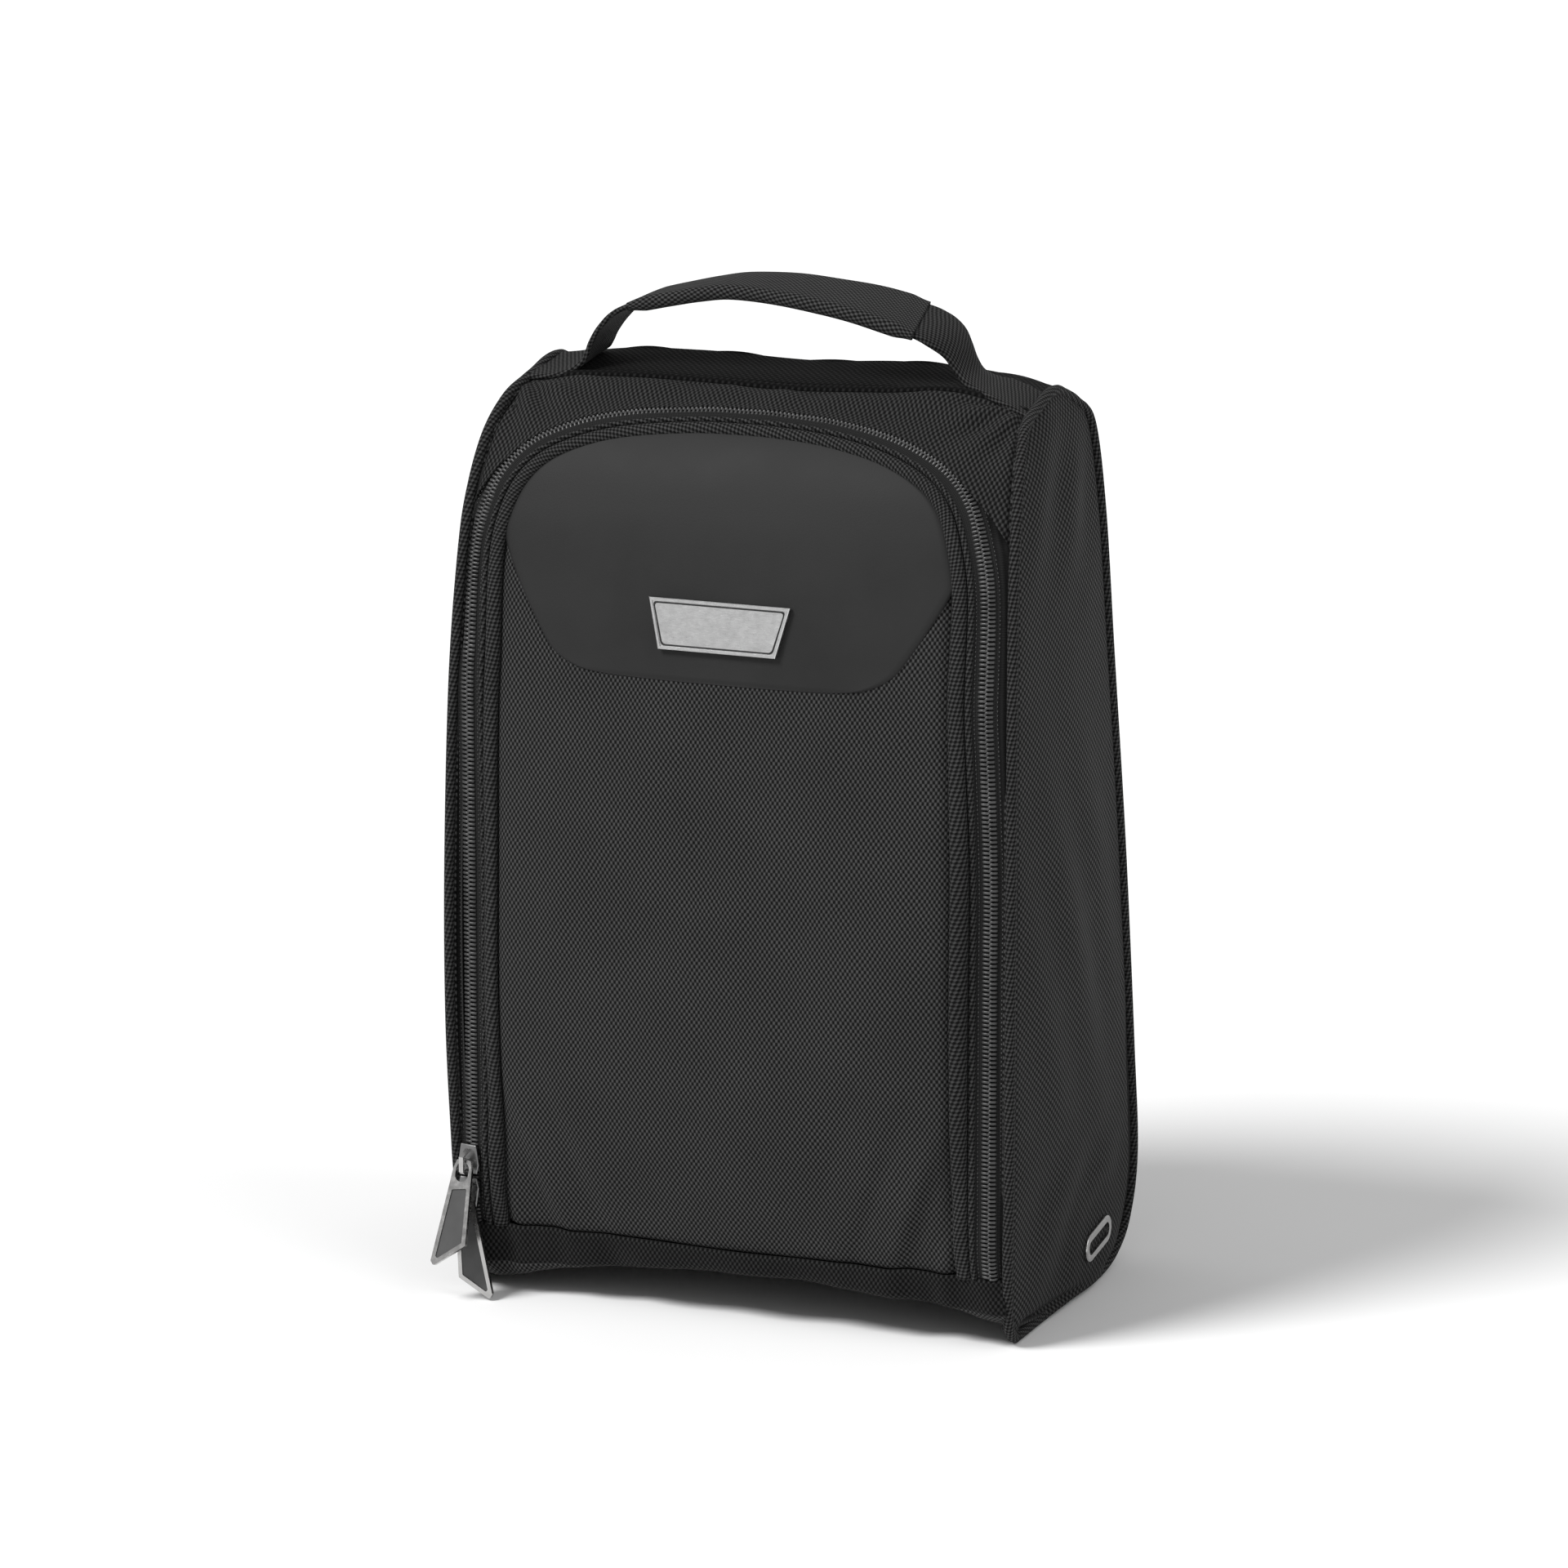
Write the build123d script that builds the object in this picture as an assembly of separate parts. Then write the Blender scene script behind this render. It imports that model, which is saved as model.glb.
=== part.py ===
"""Golf shoe bag: an upright soft bag with a U-shaped zip door, a carry handle and metal trim.

X is the width, -Y the front, +Z up. The origin lies on the flat of the base, on the centre line.
All lengths are in millimetres. The walls are built as layers: each layer is the space between two
insets of the same outer form, so the fabric, foam and lining follow one another everywhere.
"""
import os
from math import cos, radians, sin, sqrt

from build123d import *

# ---- outer form -------------------------------------------------------------------------------
FRONT_Y = -84.0            # foremost line of the front, on the centre line
FRONT_BOW_RADIUS = 524.0   # the front is bowed across its width
HALF_WIDTH = 116.0         # from the centre to a side panel
SIDE_STRAIGHT_Z = 230.0    # above this height the sides draw in
SIDE_DRAW_RADIUS = 732.0
SIDE_FRONT_Y = FRONT_Y - 0.6   # the side outline starts just clear of the bow, so they cross cleanly
LEAN_START_Z = 205.0       # above this height the front leans back
LEAN_RADIUS = 414.0
LEAN_ANGLE = 13.8
CROWN_RADIUS = 71.8
CROWN_ANGLE = 57.8
TOP_BACK = (12.0, 360.0)   # rear edge of the top strip, as (y, z)
TOP_BACK_ROUND = (27.0, 351.0)
SHOULDER = (33.5, 336.0)
BACK_TOP = (34.0, 300.0)
BACK_MID = (48.9, 178.0)
BACK_LOW = (71.5, 42.0)
HEEL_RADIUS = 42.0
HEEL_START_Y = BACK_LOW[0] - HEEL_RADIUS
TOP_FRONT_Y = -25.0        # seam between the front and the top strip

# ---- arched hollow under the front edge ---------------------------------------------------------
ARCH_HALF_WIDTH = 110.0
ARCH_SHOULDER_X = 100.0
ARCH_SHOULDER_Z = 12.5
ARCH_TOP_Z = 18.5
ARCH_FOOT_Z = -8.0         # the hollow's outline is carried on below the ground
ARCH_END_Y = -13.0         # the hollow runs out into the flat base here

# ---- wall layers, as insets from the outer form --------------------------------------------------
FABRIC = 1.0
FOAM_IN = 3.2
LINING_IN = 3.8
TAPE_OUT = 1.05
TAPE_IN = 1.65
COIL_OUT = -0.6
YOKE_OUT = -0.9
JOIN = 0.05                # air between two neighbouring layers
CORNER_PIPE_OUT = -1.4
CORNER_PIPE_IN = 1.5
CORNER_PIPE_WIDTH = 3.8
CORNER_PIPE_PROUD = 0.4
PANEL_EDGE = 3.5           # front, top, back and base panels stop this far inside the side panels

# ---- zip and door --------------------------------------------------------------------------------
ZIP_HALF_WIDTH = 107.0     # centre line of the coil on the straight legs
DOOR_SEAM_Z = 28.0
ZIP_CURVE_START_Z = 256.5
ZIP_SHOULDER_RADIUS = 250.0
ZIP_SHOULDER_ANGLE = 11.0
ZIP_CORNER_RADIUS = 46.0
ZIP_CORNER_ANGLE = 64.0
ZIP_GAP = 0.6              # from the centre line to each half chain
COIL_HALF = 3.4
TAPE_HALF = 8.1
PIPE_INNER = 14.1          # from the coil's centre line to the inner edge of the door piping
DOOR_PIPE_OUT = -1.6
SURROUND_EDGE = 3.6
LINING_LAP = 4.0           # the door's lining runs this far under the piping
FOLD_LINING_THICK = 0.6
HINGE_Z = 64.0             # the door folds here, above the parked sliders
HINGE_GAP = 0.3
SURROUND_LOW_Z = 288.0
BACK_SPLIT_Z = 100.0       # the back panel reaches under the heel below this height

# ---- yoke and badge -------------------------------------------------------------------------------
YOKE_LOW_Z = 252.5
YOKE_LOW_HALF = 64.0
YOKE_SIDE = (92.5, 303.0)
YOKE_CORNER_RADIUS = 13.0
BADGE_TOP_HALF = 28.5
BADGE_LOW_HALF = 23.7
BADGE_LOW_Z = 264.2
BADGE_HEIGHT = 19.2
BADGE_THICK = 1.8
BADGE_RIM = 1.1
BADGE_RECESS = 0.5
BADGE_CHAMFER = 0.3
BADGE_BED = 0.15           # the badge sits this far above the yoke
BADGE_TILT = 9.3
PRONG_X = 15.0
PRONG_SIZE = (3.0, 0.6)    # width and thickness
PRONG_LENGTH = 4.75
PRONG_SLACK = 0.08         # room round a prong in each layer it passes through
PRONG_SLOT = 9.0           # a slot runs this far behind the badge
WASHER_SIZE = (38.0, 9.0, 0.5)
WASHER_DEPTH = 4.95        # from the badge's back to the washer's

# ---- handle ---------------------------------------------------------------------------------------
HANDLE_Y = -7.0
STRAP_WIDTH = 30.0
STRAP_THICK = 2.2
HANDLE_PIVOT_Z = 371.0
HANDLE_FOOT = (78.0, 361.0)
HANDLE_BEND = (66.0, 378.5)
HANDLE_CREST_Z = 391.0
HANDLE_OFFSET_X = -1.0
GRIP_HALF_LENGTH = 58.0
GRIP_WIDTH = 34.0
GRIP_THICK = 7.6
GRIP_COVER = 1.0
PAD_INNER_X = 72.0
PAD_OUTER_X = 100.0

# ---- sliders and pulls ------------------------------------------------------------------------------
SLIDER_LENGTH = 11.5
SLIDER_HALF_MOUTH = 4.9
SLIDER_HALF_TAIL = 3.6
UPPER_SLIDER_Z = 54.2
LOWER_SLIDER_Z = 41.0
PIVOT_DROP = 1.7           # the pull's pivot is this far below the slider's middle
PIVOT_OUT = 4.6            # and this far in front of the bag's surface
PULL_LENGTH = 41.5
PULL_THICK = 2.0
UPPER_PULL_SWAY = 2.0      # the pulls hang askew: sway is across the zip, lean is away from the bag
UPPER_PULL_LEAN = 20.0
LOWER_PULL_SWAY = -9.0
LOWER_PULL_LEAN = 4.0

# ---- vent eyelets ------------------------------------------------------------------------------------
EYELET_Y = 21.5
EYELET_Z = 20.5
EYELET_LONG = 28.5
EYELET_SHORT = 11.0
EYELET_ANGLE = 9.0
EYELET_HOLE_LONG = 23.0
EYELET_HOLE_SHORT = 5.6

# ---- base board ----------------------------------------------------------------------------------------
BOARD_EDGE = 14.0          # the board stops this far inside the sides
BOARD_Y = (ARCH_END_Y + 2, 30.0)
BOARD_TOP_Z = 5.9

REACH = 400.0              # longer than the bag in every direction
HANG = (Align.CENTER, Align.CENTER, Align.MAX)
STAND = (Align.CENTER, Align.CENTER, Align.MIN)


def side_face(inset):
    """The side view's outline in the YZ plane, drawn inset millimetres inside the outer form."""
    front = Line((SIDE_FRONT_Y, 0), (SIDE_FRONT_Y, LEAN_START_Z))
    lean = JernArc(front @ 1, front % 1, LEAN_RADIUS, -LEAN_ANGLE)
    crown = JernArc(lean @ 1, lean % 1, CROWN_RADIUS, -CROWN_ANGLE)
    top = Line(crown @ 1, TOP_BACK)
    shoulder = ThreePointArc(TOP_BACK, TOP_BACK_ROUND, SHOULDER)
    back_high = Line(SHOULDER, BACK_TOP)
    back = ThreePointArc(BACK_TOP, BACK_MID, BACK_LOW)
    heel_mid = HEEL_RADIUS * (1 - sqrt(0.5))
    heel = ThreePointArc(BACK_LOW, (BACK_LOW[0] - heel_mid, heel_mid), (HEEL_START_Y, 0))
    base = Line((HEEL_START_Y, 0), (SIDE_FRONT_Y, 0))
    outline = make_face([front, lean, crown, top, shoulder, back_high, back, heel, base])
    return offset(outline, amount=-inset) if inset else outline


def bow(inset):
    """The bowed front, as a wide upright cylinder."""
    centre_y = FRONT_Y + FRONT_BOW_RADIUS
    tall = Cylinder(FRONT_BOW_RADIUS - inset, 2 * REACH)
    return Pos(0, centre_y, 0) * tall


def width_block(inset):
    """The front view's outline, run through the whole depth; it cuts the sides only."""
    edge = HALF_WIDTH - inset
    side = Line((edge, -20), (edge, SIDE_STRAIGHT_Z))
    draw = JernArc(side @ 1, side % 1, SIDE_DRAW_RADIUS - inset, 12)
    top = draw @ 1
    over = Line(top, (-top.X, top.Y))
    far_draw = mirror(draw, Plane.YZ)
    far_side = mirror(side, Plane.YZ)
    under = Line((-edge, -20), (edge, -20))
    outline = make_face([side, draw, over, far_draw, far_side, under])
    return extrude(Plane.XZ * outline, amount=REACH, both=True)


def arch_hollow(inset):
    """The space under the arched front edge, where the base rises off the ground."""
    left_shoulder = (-ARCH_SHOULDER_X, ARCH_SHOULDER_Z)
    right_shoulder = (ARCH_SHOULDER_X, ARCH_SHOULDER_Z)
    left_foot = (-ARCH_HALF_WIDTH, ARCH_FOOT_Z)
    right_foot = (ARCH_HALF_WIDTH, ARCH_FOOT_Z)
    crown = ThreePointArc(left_shoulder, (0, ARCH_TOP_Z), right_shoulder)
    right = Line(right_shoulder, right_foot)
    under = Line(right_foot, left_foot)
    left = Line(left_foot, left_shoulder)
    outline = offset(make_face([crown, right, under, left]), amount=inset + 0.001)
    mouth = extrude(Plane.XZ * outline, amount=REACH, both=True)
    rise = (ARCH_TOP_Z + 1) / (ARCH_END_Y - FRONT_Y)
    front_y = FRONT_Y - 20
    front_z = (ARCH_END_Y - front_y) * rise + inset * sqrt(1 + rise * rise)
    end_y = ARCH_END_Y + inset * sqrt(1 + rise * rise) / rise
    ramp = Polygon((front_y, -20), (front_y, front_z), (end_y, 0), (end_y, -20), align=None)
    return mouth & extrude(Plane.YZ * ramp, amount=REACH, both=True)


forms = {}


def form(inset):
    """The bag's outer form without its side panels' limit, inset from the outer surface."""
    if inset not in forms:
        block = extrude(Plane.YZ * side_face(inset), amount=REACH / 2, both=True)
        forms[inset] = (block & bow(inset)) - arch_hollow(inset)
    return forms[inset]


def layer(outer, inner, edge=PANEL_EDGE):
    """One layer of the wrap-round wall between two insets, inside the side panels."""
    return (form(outer) - form(inner)) & width_block(edge)


def slab(y_range=(-REACH, REACH), z_range=(-REACH, REACH), x_range=(-REACH, REACH)):
    """A plain box for cutting a layer into panels."""
    size = [high - low for low, high in (x_range, y_range, z_range)]
    middle = [(high + low) / 2 for low, high in (x_range, y_range, z_range)]
    return Pos(*middle) * Box(*size)


def door_block(grow):
    """The door's outline, grown from the coil's centre line and run through the front of the bag."""
    leg_x = ZIP_HALF_WIDTH + grow
    turn = ZIP_SHOULDER_ANGLE + ZIP_CORNER_ANGLE
    shoulder_x = ZIP_SHOULDER_RADIUS * (1 - cos(radians(ZIP_SHOULDER_ANGLE)))
    corner_x = ZIP_CORNER_RADIUS * (cos(radians(ZIP_SHOULDER_ANGLE)) - cos(radians(turn)))
    crown_radius = (ZIP_HALF_WIDTH - shoulder_x - corner_x) / cos(radians(turn))
    leg = Line((leg_x, DOOR_SEAM_Z), (leg_x, ZIP_CURVE_START_Z))
    shoulder = JernArc(leg @ 1, leg % 1, ZIP_SHOULDER_RADIUS + grow, ZIP_SHOULDER_ANGLE)
    corner = JernArc(shoulder @ 1, shoulder % 1, ZIP_CORNER_RADIUS + grow, ZIP_CORNER_ANGLE)
    crown = JernArc(corner @ 1, corner % 1, crown_radius + grow, 90 - turn)
    half = [leg, shoulder, corner, crown]
    sill = Line((-leg_x, DOOR_SEAM_Z), (leg_x, DOOR_SEAM_Z))
    outline = make_face(half + [mirror(edge, Plane.YZ) for edge in half] + [sill])
    return extrude(Plane.XZ * outline, amount=REACH)


def ring(outer_grow, inner_grow):
    """A U-shaped band between two growths of the door's outline."""
    return door_block(outer_grow) - door_block(inner_grow)


def front_only(z_low, z_high):
    """The part of a layer in front of the top seam, between two heights."""
    return slab(y_range=(-REACH, TOP_FRONT_Y - JOIN), z_range=(z_low, z_high))


def surface_y(x, z=0.0):
    """The y of the bag's front surface at a place."""
    bowed = FRONT_Y + FRONT_BOW_RADIUS - sqrt(FRONT_BOW_RADIUS ** 2 - x * x)
    rise = max(0.0, z - LEAN_START_Z)
    leaning = SIDE_FRONT_Y + LEAN_RADIUS - sqrt(LEAN_RADIUS ** 2 - rise * rise)
    return max(bowed, leaning)


def yoke_block():
    """The moulded yoke's outline in the front view."""
    corner = (YOKE_LOW_HALF, YOKE_LOW_Z)
    outline = Polygon(
        (-YOKE_LOW_HALF, YOKE_LOW_Z), corner, YOKE_SIDE, (YOKE_SIDE[0], REACH), (-YOKE_SIDE[0], REACH),
        (-YOKE_SIDE[0], YOKE_SIDE[1]), align=None,
    )
    low = outline.vertices().sort_by(Axis.Y)[:2]
    return extrude(Plane.XZ * fillet(low, YOKE_CORNER_RADIUS), amount=REACH)


def badge_frame():
    """The badge's own frame: local z points out of the front, local y up the plate."""
    low_y = surface_y(0, BADGE_LOW_Z) + YOKE_OUT - BADGE_BED
    tilt = radians(BADGE_TILT)
    up = Vector(0, sin(tilt), cos(tilt))
    return Plane(origin=(0, low_y, BADGE_LOW_Z), x_dir=(1, 0, 0), z_dir=Vector(1, 0, 0).cross(up))


def badge_outline(shrink):
    """The badge's trapezium, drawn in by shrink on every side."""
    outline = Polygon(
        (-BADGE_LOW_HALF, 0), (BADGE_LOW_HALF, 0), (BADGE_TOP_HALF, BADGE_HEIGHT),
        (-BADGE_TOP_HALF, BADGE_HEIGHT), align=None,
    )
    return offset(outline, amount=-shrink, kind=Kind.INTERSECTION) if shrink else outline


def prong_places():
    """The two prongs' places on the badge's back."""
    return [(side * PRONG_X, BADGE_HEIGHT / 2) for side in (-1, 1)]


def prong_blocks(slack, length):
    """The two prongs behind the badge, or their slots when slack is added."""
    width, thick = PRONG_SIZE
    prong = Box(width + 2 * slack, thick + 2 * slack, length, align=HANG)
    return Compound([badge_frame().location * Pos(x, y, 0) * prong for x, y in prong_places()])


def badge():
    """A stamped trapezium plate with a raised rim and two prongs."""
    plate = extrude(badge_outline(0), amount=BADGE_THICK)
    floor = Pos(0, 0, BADGE_THICK - BADGE_RECESS)
    recess = floor * extrude(badge_outline(BADGE_RIM), amount=BADGE_RECESS)
    edge = plate.faces().sort_by(Axis.Z)[-1].edges()
    body = chamfer(edge, BADGE_CHAMFER) - recess
    return Part() + badge_frame().location * body + prong_blocks(0, PRONG_LENGTH)


def badge_washer():
    """The backing plate inside the door, which the prongs pass through."""
    washer = Box(*WASHER_SIZE, align=HANG)
    placed = badge_frame().location * Pos(0, BADGE_HEIGHT / 2, -WASHER_DEPTH) * washer
    return placed - prong_blocks(PRONG_SLACK, PRONG_SLOT)


def front_strip(outer, inner, grow, z_low, z_high):
    """A layer of the front inside the door outline's growth, between two heights."""
    return layer(outer, inner) & door_block(grow) & front_only(z_low, z_high)


def front_band(outer, inner, grow_out, grow_in, z_low, z_high):
    """A U-shaped band of one layer of the front, between two heights."""
    return layer(outer, inner) & ring(grow_out, grow_in) & front_only(z_low, z_high)


def door_nodes():
    """Everything that swings with the door."""
    low = HINGE_Z + HINGE_GAP
    slots = prong_blocks(PRONG_SLACK, PRONG_SLOT)
    lining = front_strip(FOAM_IN + JOIN, LINING_IN, -PIPE_INNER + LINING_LAP, low, REACH)
    yoke = (form(YOKE_OUT) - form(-JOIN)) & yoke_block() & door_block(-PIPE_INNER - 4 * JOIN)
    return {
        "door_panel": front_strip(0, FABRIC, -PIPE_INNER, low, REACH) - slots,
        "door_foam": front_strip(FABRIC + JOIN, FOAM_IN, -PIPE_INNER, low, REACH) - slots,
        "door_lining": lining - slots,
        "door_piping": front_band(DOOR_PIPE_OUT, FABRIC, -TAPE_HALF, -PIPE_INNER + JOIN, low, REACH),
        "door_zip_tape": front_band(TAPE_OUT, TAPE_IN, -ZIP_GAP, -PIPE_INNER + JOIN, low, REACH),
        "door_zip_coil": front_band(COIL_OUT, FABRIC, -ZIP_GAP, -COIL_HALF, low, REACH),
        "door_yoke": yoke - slots,
        "badge_plate": badge(),
        "badge_washer": badge_washer(),
    }


def fixed_zip_nodes():
    """The bag's half of the zip, and the door's short fixed strip under the fold."""
    low = DOOR_SEAM_Z + JOIN
    fold = HINGE_Z - HINGE_GAP
    tape = front_band(TAPE_OUT, TAPE_IN, TAPE_HALF, ZIP_GAP, low, REACH)
    tape_foot = front_band(TAPE_OUT, TAPE_IN, -ZIP_GAP, -PIPE_INNER + JOIN, low, fold)
    coil = front_band(COIL_OUT, FABRIC, COIL_HALF, ZIP_GAP, low, REACH)
    coil_foot = front_band(COIL_OUT, FABRIC, -ZIP_GAP, -COIL_HALF, low, fold)
    lining_out = TAPE_IN + JOIN
    lining_in = lining_out + FOLD_LINING_THICK
    return {
        "body_zip_tape": Part() + tape + tape_foot,
        "body_zip_coil": Part() + coil + coil_foot,
        "fold_piping": front_band(DOOR_PIPE_OUT, FABRIC, -TAPE_HALF, -PIPE_INNER + JOIN, low, fold),
        "fold_panel": front_strip(0, FABRIC, -PIPE_INNER, low, fold),
        "fold_lining": front_strip(lining_out, lining_in, -PIPE_INNER + LINING_LAP, low, fold),
    }


def wrap_nodes():
    """The outer fabric that wraps round between the two side panels."""
    skin = layer(0, FABRIC)
    behind = slab(y_range=(TOP_BACK[0] + JOIN, REACH), z_range=(BACK_SPLIT_Z, REACH))
    below = slab(y_range=(HEEL_START_Y + JOIN, REACH), z_range=(-REACH, BACK_SPLIT_Z))
    surround = skin & front_only(SURROUND_LOW_Z, REACH)
    lower = (form(0) & width_block(PANEL_EDGE)) - bow(FABRIC)
    floor = skin & bow(FABRIC + JOIN) & slab((-REACH, HEEL_START_Y), (-REACH, DOOR_SEAM_Z - 2))
    return {
        "surround_panel": surround - door_block(SURROUND_EDGE),
        "lower_front_band": lower & slab(y_range=(-REACH, -40), z_range=(-REACH, DOOR_SEAM_Z)),
        "top_panel": skin & slab((TOP_FRONT_Y, TOP_BACK[0]), (BACK_TOP[1], REACH)),
        "back_panel": skin & (behind + below),
        "base_panel": floor,
    }


def oval(long, short, thick):
    """An oval plate, its long axis along local x, thick along local z, centred."""
    return extrude(SlotOverall(long, short), amount=thick / 2, both=True)


def eyelet_place(side, inset):
    """The frame of one vent eyelet: local z points out of the side panel."""
    middle = (side * (HALF_WIDTH - inset), EYELET_Y, EYELET_Z)
    spot = Plane(origin=middle, x_dir=(0, 1, 0), z_dir=(side, 0, 0))
    return spot.location * Rot(0, 0, side * EYELET_ANGLE)


def eyelet_hole(side):
    """The hole for one eyelet's barrel through the side wall."""
    return eyelet_place(side, 0) * oval(EYELET_HOLE_LONG + 2.4, EYELET_HOLE_SHORT + 2.4, 12)


def eyelet_nodes(side, name):
    """One vent eyelet: an outer ring with its barrel, an inner washer and a mesh."""
    through = oval(EYELET_HOLE_LONG, EYELET_HOLE_SHORT, 14)
    flange = Pos(0, 0, 0.7) * oval(EYELET_LONG, EYELET_SHORT, 1.2)
    flange = fillet(flange.faces().sort_by(Axis.Z)[-1].edges(), 0.5)
    barrel = Pos(0, 0, -2.0) * oval(EYELET_HOLE_LONG + 2.0, EYELET_HOLE_SHORT + 2.0, 4.2)
    barrel_hole = oval(EYELET_HOLE_LONG + 2.1, EYELET_HOLE_SHORT + 2.1, 14)
    washer = Pos(0, 0, -4.35) * (oval(EYELET_LONG - 1, EYELET_SHORT - 1, 0.8) - barrel_hole)
    mesh = Pos(0, 0, -5.05) * oval(EYELET_HOLE_LONG + 3, EYELET_HOLE_SHORT + 3, 0.4)
    place = eyelet_place(side, 0)
    return {
        f"vent_eyelet_{name}": place * (flange + barrel - through),
        f"vent_washer_{name}": place * washer,
        f"vent_mesh_{name}": place * mesh,
    }


def half_range(side):
    """The range of x on one side of the centre line."""
    return sorted((0, side * REACH))


def side_nodes(side, name):
    """One side of the bag: its panel, foam and edge piping."""
    half = slab(x_range=half_range(side))
    hole = eyelet_hole(side)
    panel = (form(CORNER_PIPE_IN + 0.1) & width_block(0)) - width_block(FABRIC)
    foam = (form(FOAM_IN + 0.1) & width_block(FABRIC + JOIN)) - width_block(FOAM_IN)
    rim = (form(CORNER_PIPE_OUT) - form(CORNER_PIPE_IN)) & width_block(-CORNER_PIPE_PROUD)
    rim = rim - width_block(CORNER_PIPE_WIDTH - CORNER_PIPE_PROUD)
    return {
        f"side_panel_{name}": (panel & half) - hole,
        f"side_foam_{name}": (foam & half) - hole,
        f"corner_piping_{name}": rim & half & slab(z_range=(0, REACH)),
    }


def inner_nodes():
    """The back's foam, the lining and the base board."""
    lining = form(FOAM_IN + JOIN) & width_block(FOAM_IN + JOIN)
    lining = lining - (form(LINING_IN) & width_block(LINING_IN)) - door_block(SURROUND_EDGE)
    for side in (-1, 1):
        lining = lining - eyelet_place(side, 0) * oval(EYELET_LONG, EYELET_SHORT, 14)
    behind = slab(y_range=(TOP_BACK[0], REACH), z_range=(HEEL_RADIUS, REACH))
    board = form(LINING_IN + 2 * JOIN) & width_block(BOARD_EDGE) & slab(BOARD_Y, (0, BOARD_TOP_Z))
    return {
        "body_lining": lining,
        "back_foam": layer(FABRIC + JOIN, FOAM_IN, PANEL_EDGE) & behind,
        "base_board": board,
    }


def strap_area(grow):
    """The area under the handle's centre line in the front view, grown by grow on every side."""
    foot_x, foot_z = HANDLE_FOOT
    bend_x, bend_z = HANDLE_BEND
    spread = (foot_x - bend_x) / (bend_z - foot_z)
    low_z = foot_z - 40
    low_x = foot_x + 40 * spread
    right = Line((low_x, low_z), HANDLE_BEND)
    crest = ThreePointArc(HANDLE_BEND, (0, HANDLE_CREST_Z), (-bend_x, bend_z))
    left = Line((-bend_x, bend_z), (-low_x, low_z))
    sill = Line((-low_x, low_z), (low_x, low_z))
    return offset(make_face([right, crest, left, sill]), amount=grow)


def strap_band(thick, width):
    """A band of the handle's shape, thick across its path and width along Y, down to its feet."""
    face = strap_area(thick / 2) - strap_area(-thick / 2)
    band = Pos(HANDLE_OFFSET_X, HANDLE_Y, 0) * extrude(Plane.XZ * face, amount=width / 2, both=True)
    return band & slab(z_range=(HANDLE_FOOT[1], REACH))


def handle_notch(above):
    """The wedge of space that the strap's foot leaves free so that it can swing."""
    tip = HANDLE_PIVOT_Z
    wide = 40.0
    drop = wide / 1.75
    sign = 1 if above else -1
    gap = 0.4 * sign
    far = tip - 60 * sign
    outline = Polygon(
        (0, tip + gap), (wide, tip + gap + sign * drop), (wide, far), (-wide, far),
        (-wide, tip + gap + sign * drop), align=None,
    )
    return Pos(0, HANDLE_Y, 0) * extrude(Plane.YZ * outline, amount=REACH, both=True)


def grip_zone(half_length):
    """The stretch of the handle that the grip covers."""
    low_x = HANDLE_OFFSET_X - half_length
    high_x = HANDLE_OFFSET_X + half_length
    return slab(x_range=(low_x, high_x), z_range=(BACK_TOP[1], 2 * REACH))


def handle_nodes():
    """The swinging strap with its grip, and the two feet sewn on the top strip."""
    strap = strap_band(STRAP_THICK, STRAP_WIDTH)
    inside = GRIP_THICK - 2 * GRIP_COVER
    cover = strap_band(GRIP_THICK, GRIP_WIDTH) & grip_zone(GRIP_HALF_LENGTH)
    cover = cover - strap_band(inside, GRIP_WIDTH - 2 * GRIP_COVER)
    core = strap_band(inside - 0.1, GRIP_WIDTH - 2 * GRIP_COVER - 0.1) & grip_zone(GRIP_HALF_LENGTH - 1)
    core = core - strap_band(STRAP_THICK + 0.1, STRAP_WIDTH + 0.1)
    swinging = strap - handle_notch(True)
    feet = strap & handle_notch(True)
    feet = feet - handle_notch(False)
    nodes = {"handle_strap": swinging, "grip_cover": cover, "grip_core": core}
    webbing = form(-2 * JOIN - STRAP_THICK) - form(-2 * JOIN)
    pad_y = (HANDLE_Y - STRAP_WIDTH / 2, HANDLE_Y + STRAP_WIDTH / 2)
    for side, name in ((-1, "left"), (1, "right")):
        x_range = sorted((side * PAD_INNER_X, side * PAD_OUTER_X))
        pad = webbing & slab(pad_y, (BACK_TOP[1], REACH), x_range)
        foot = feet & slab(z_range=(BACK_TOP[1], HANDLE_PIVOT_Z), x_range=half_range(side))
        nodes[f"handle_foot_{name}"] = Part() + pad + foot
    return nodes


def slider_frame(z):
    """A frame on the left leg of the zip: local x across the chain, y up, z out of the front."""
    x = -ZIP_HALF_WIDTH
    slope = x / FRONT_BOW_RADIUS
    out = Vector(slope, -sqrt(1 - slope * slope), 0)
    return Plane(origin=(x, surface_y(x), z), x_dir=Vector(0, 0, 1).cross(out), z_dir=out)


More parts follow.
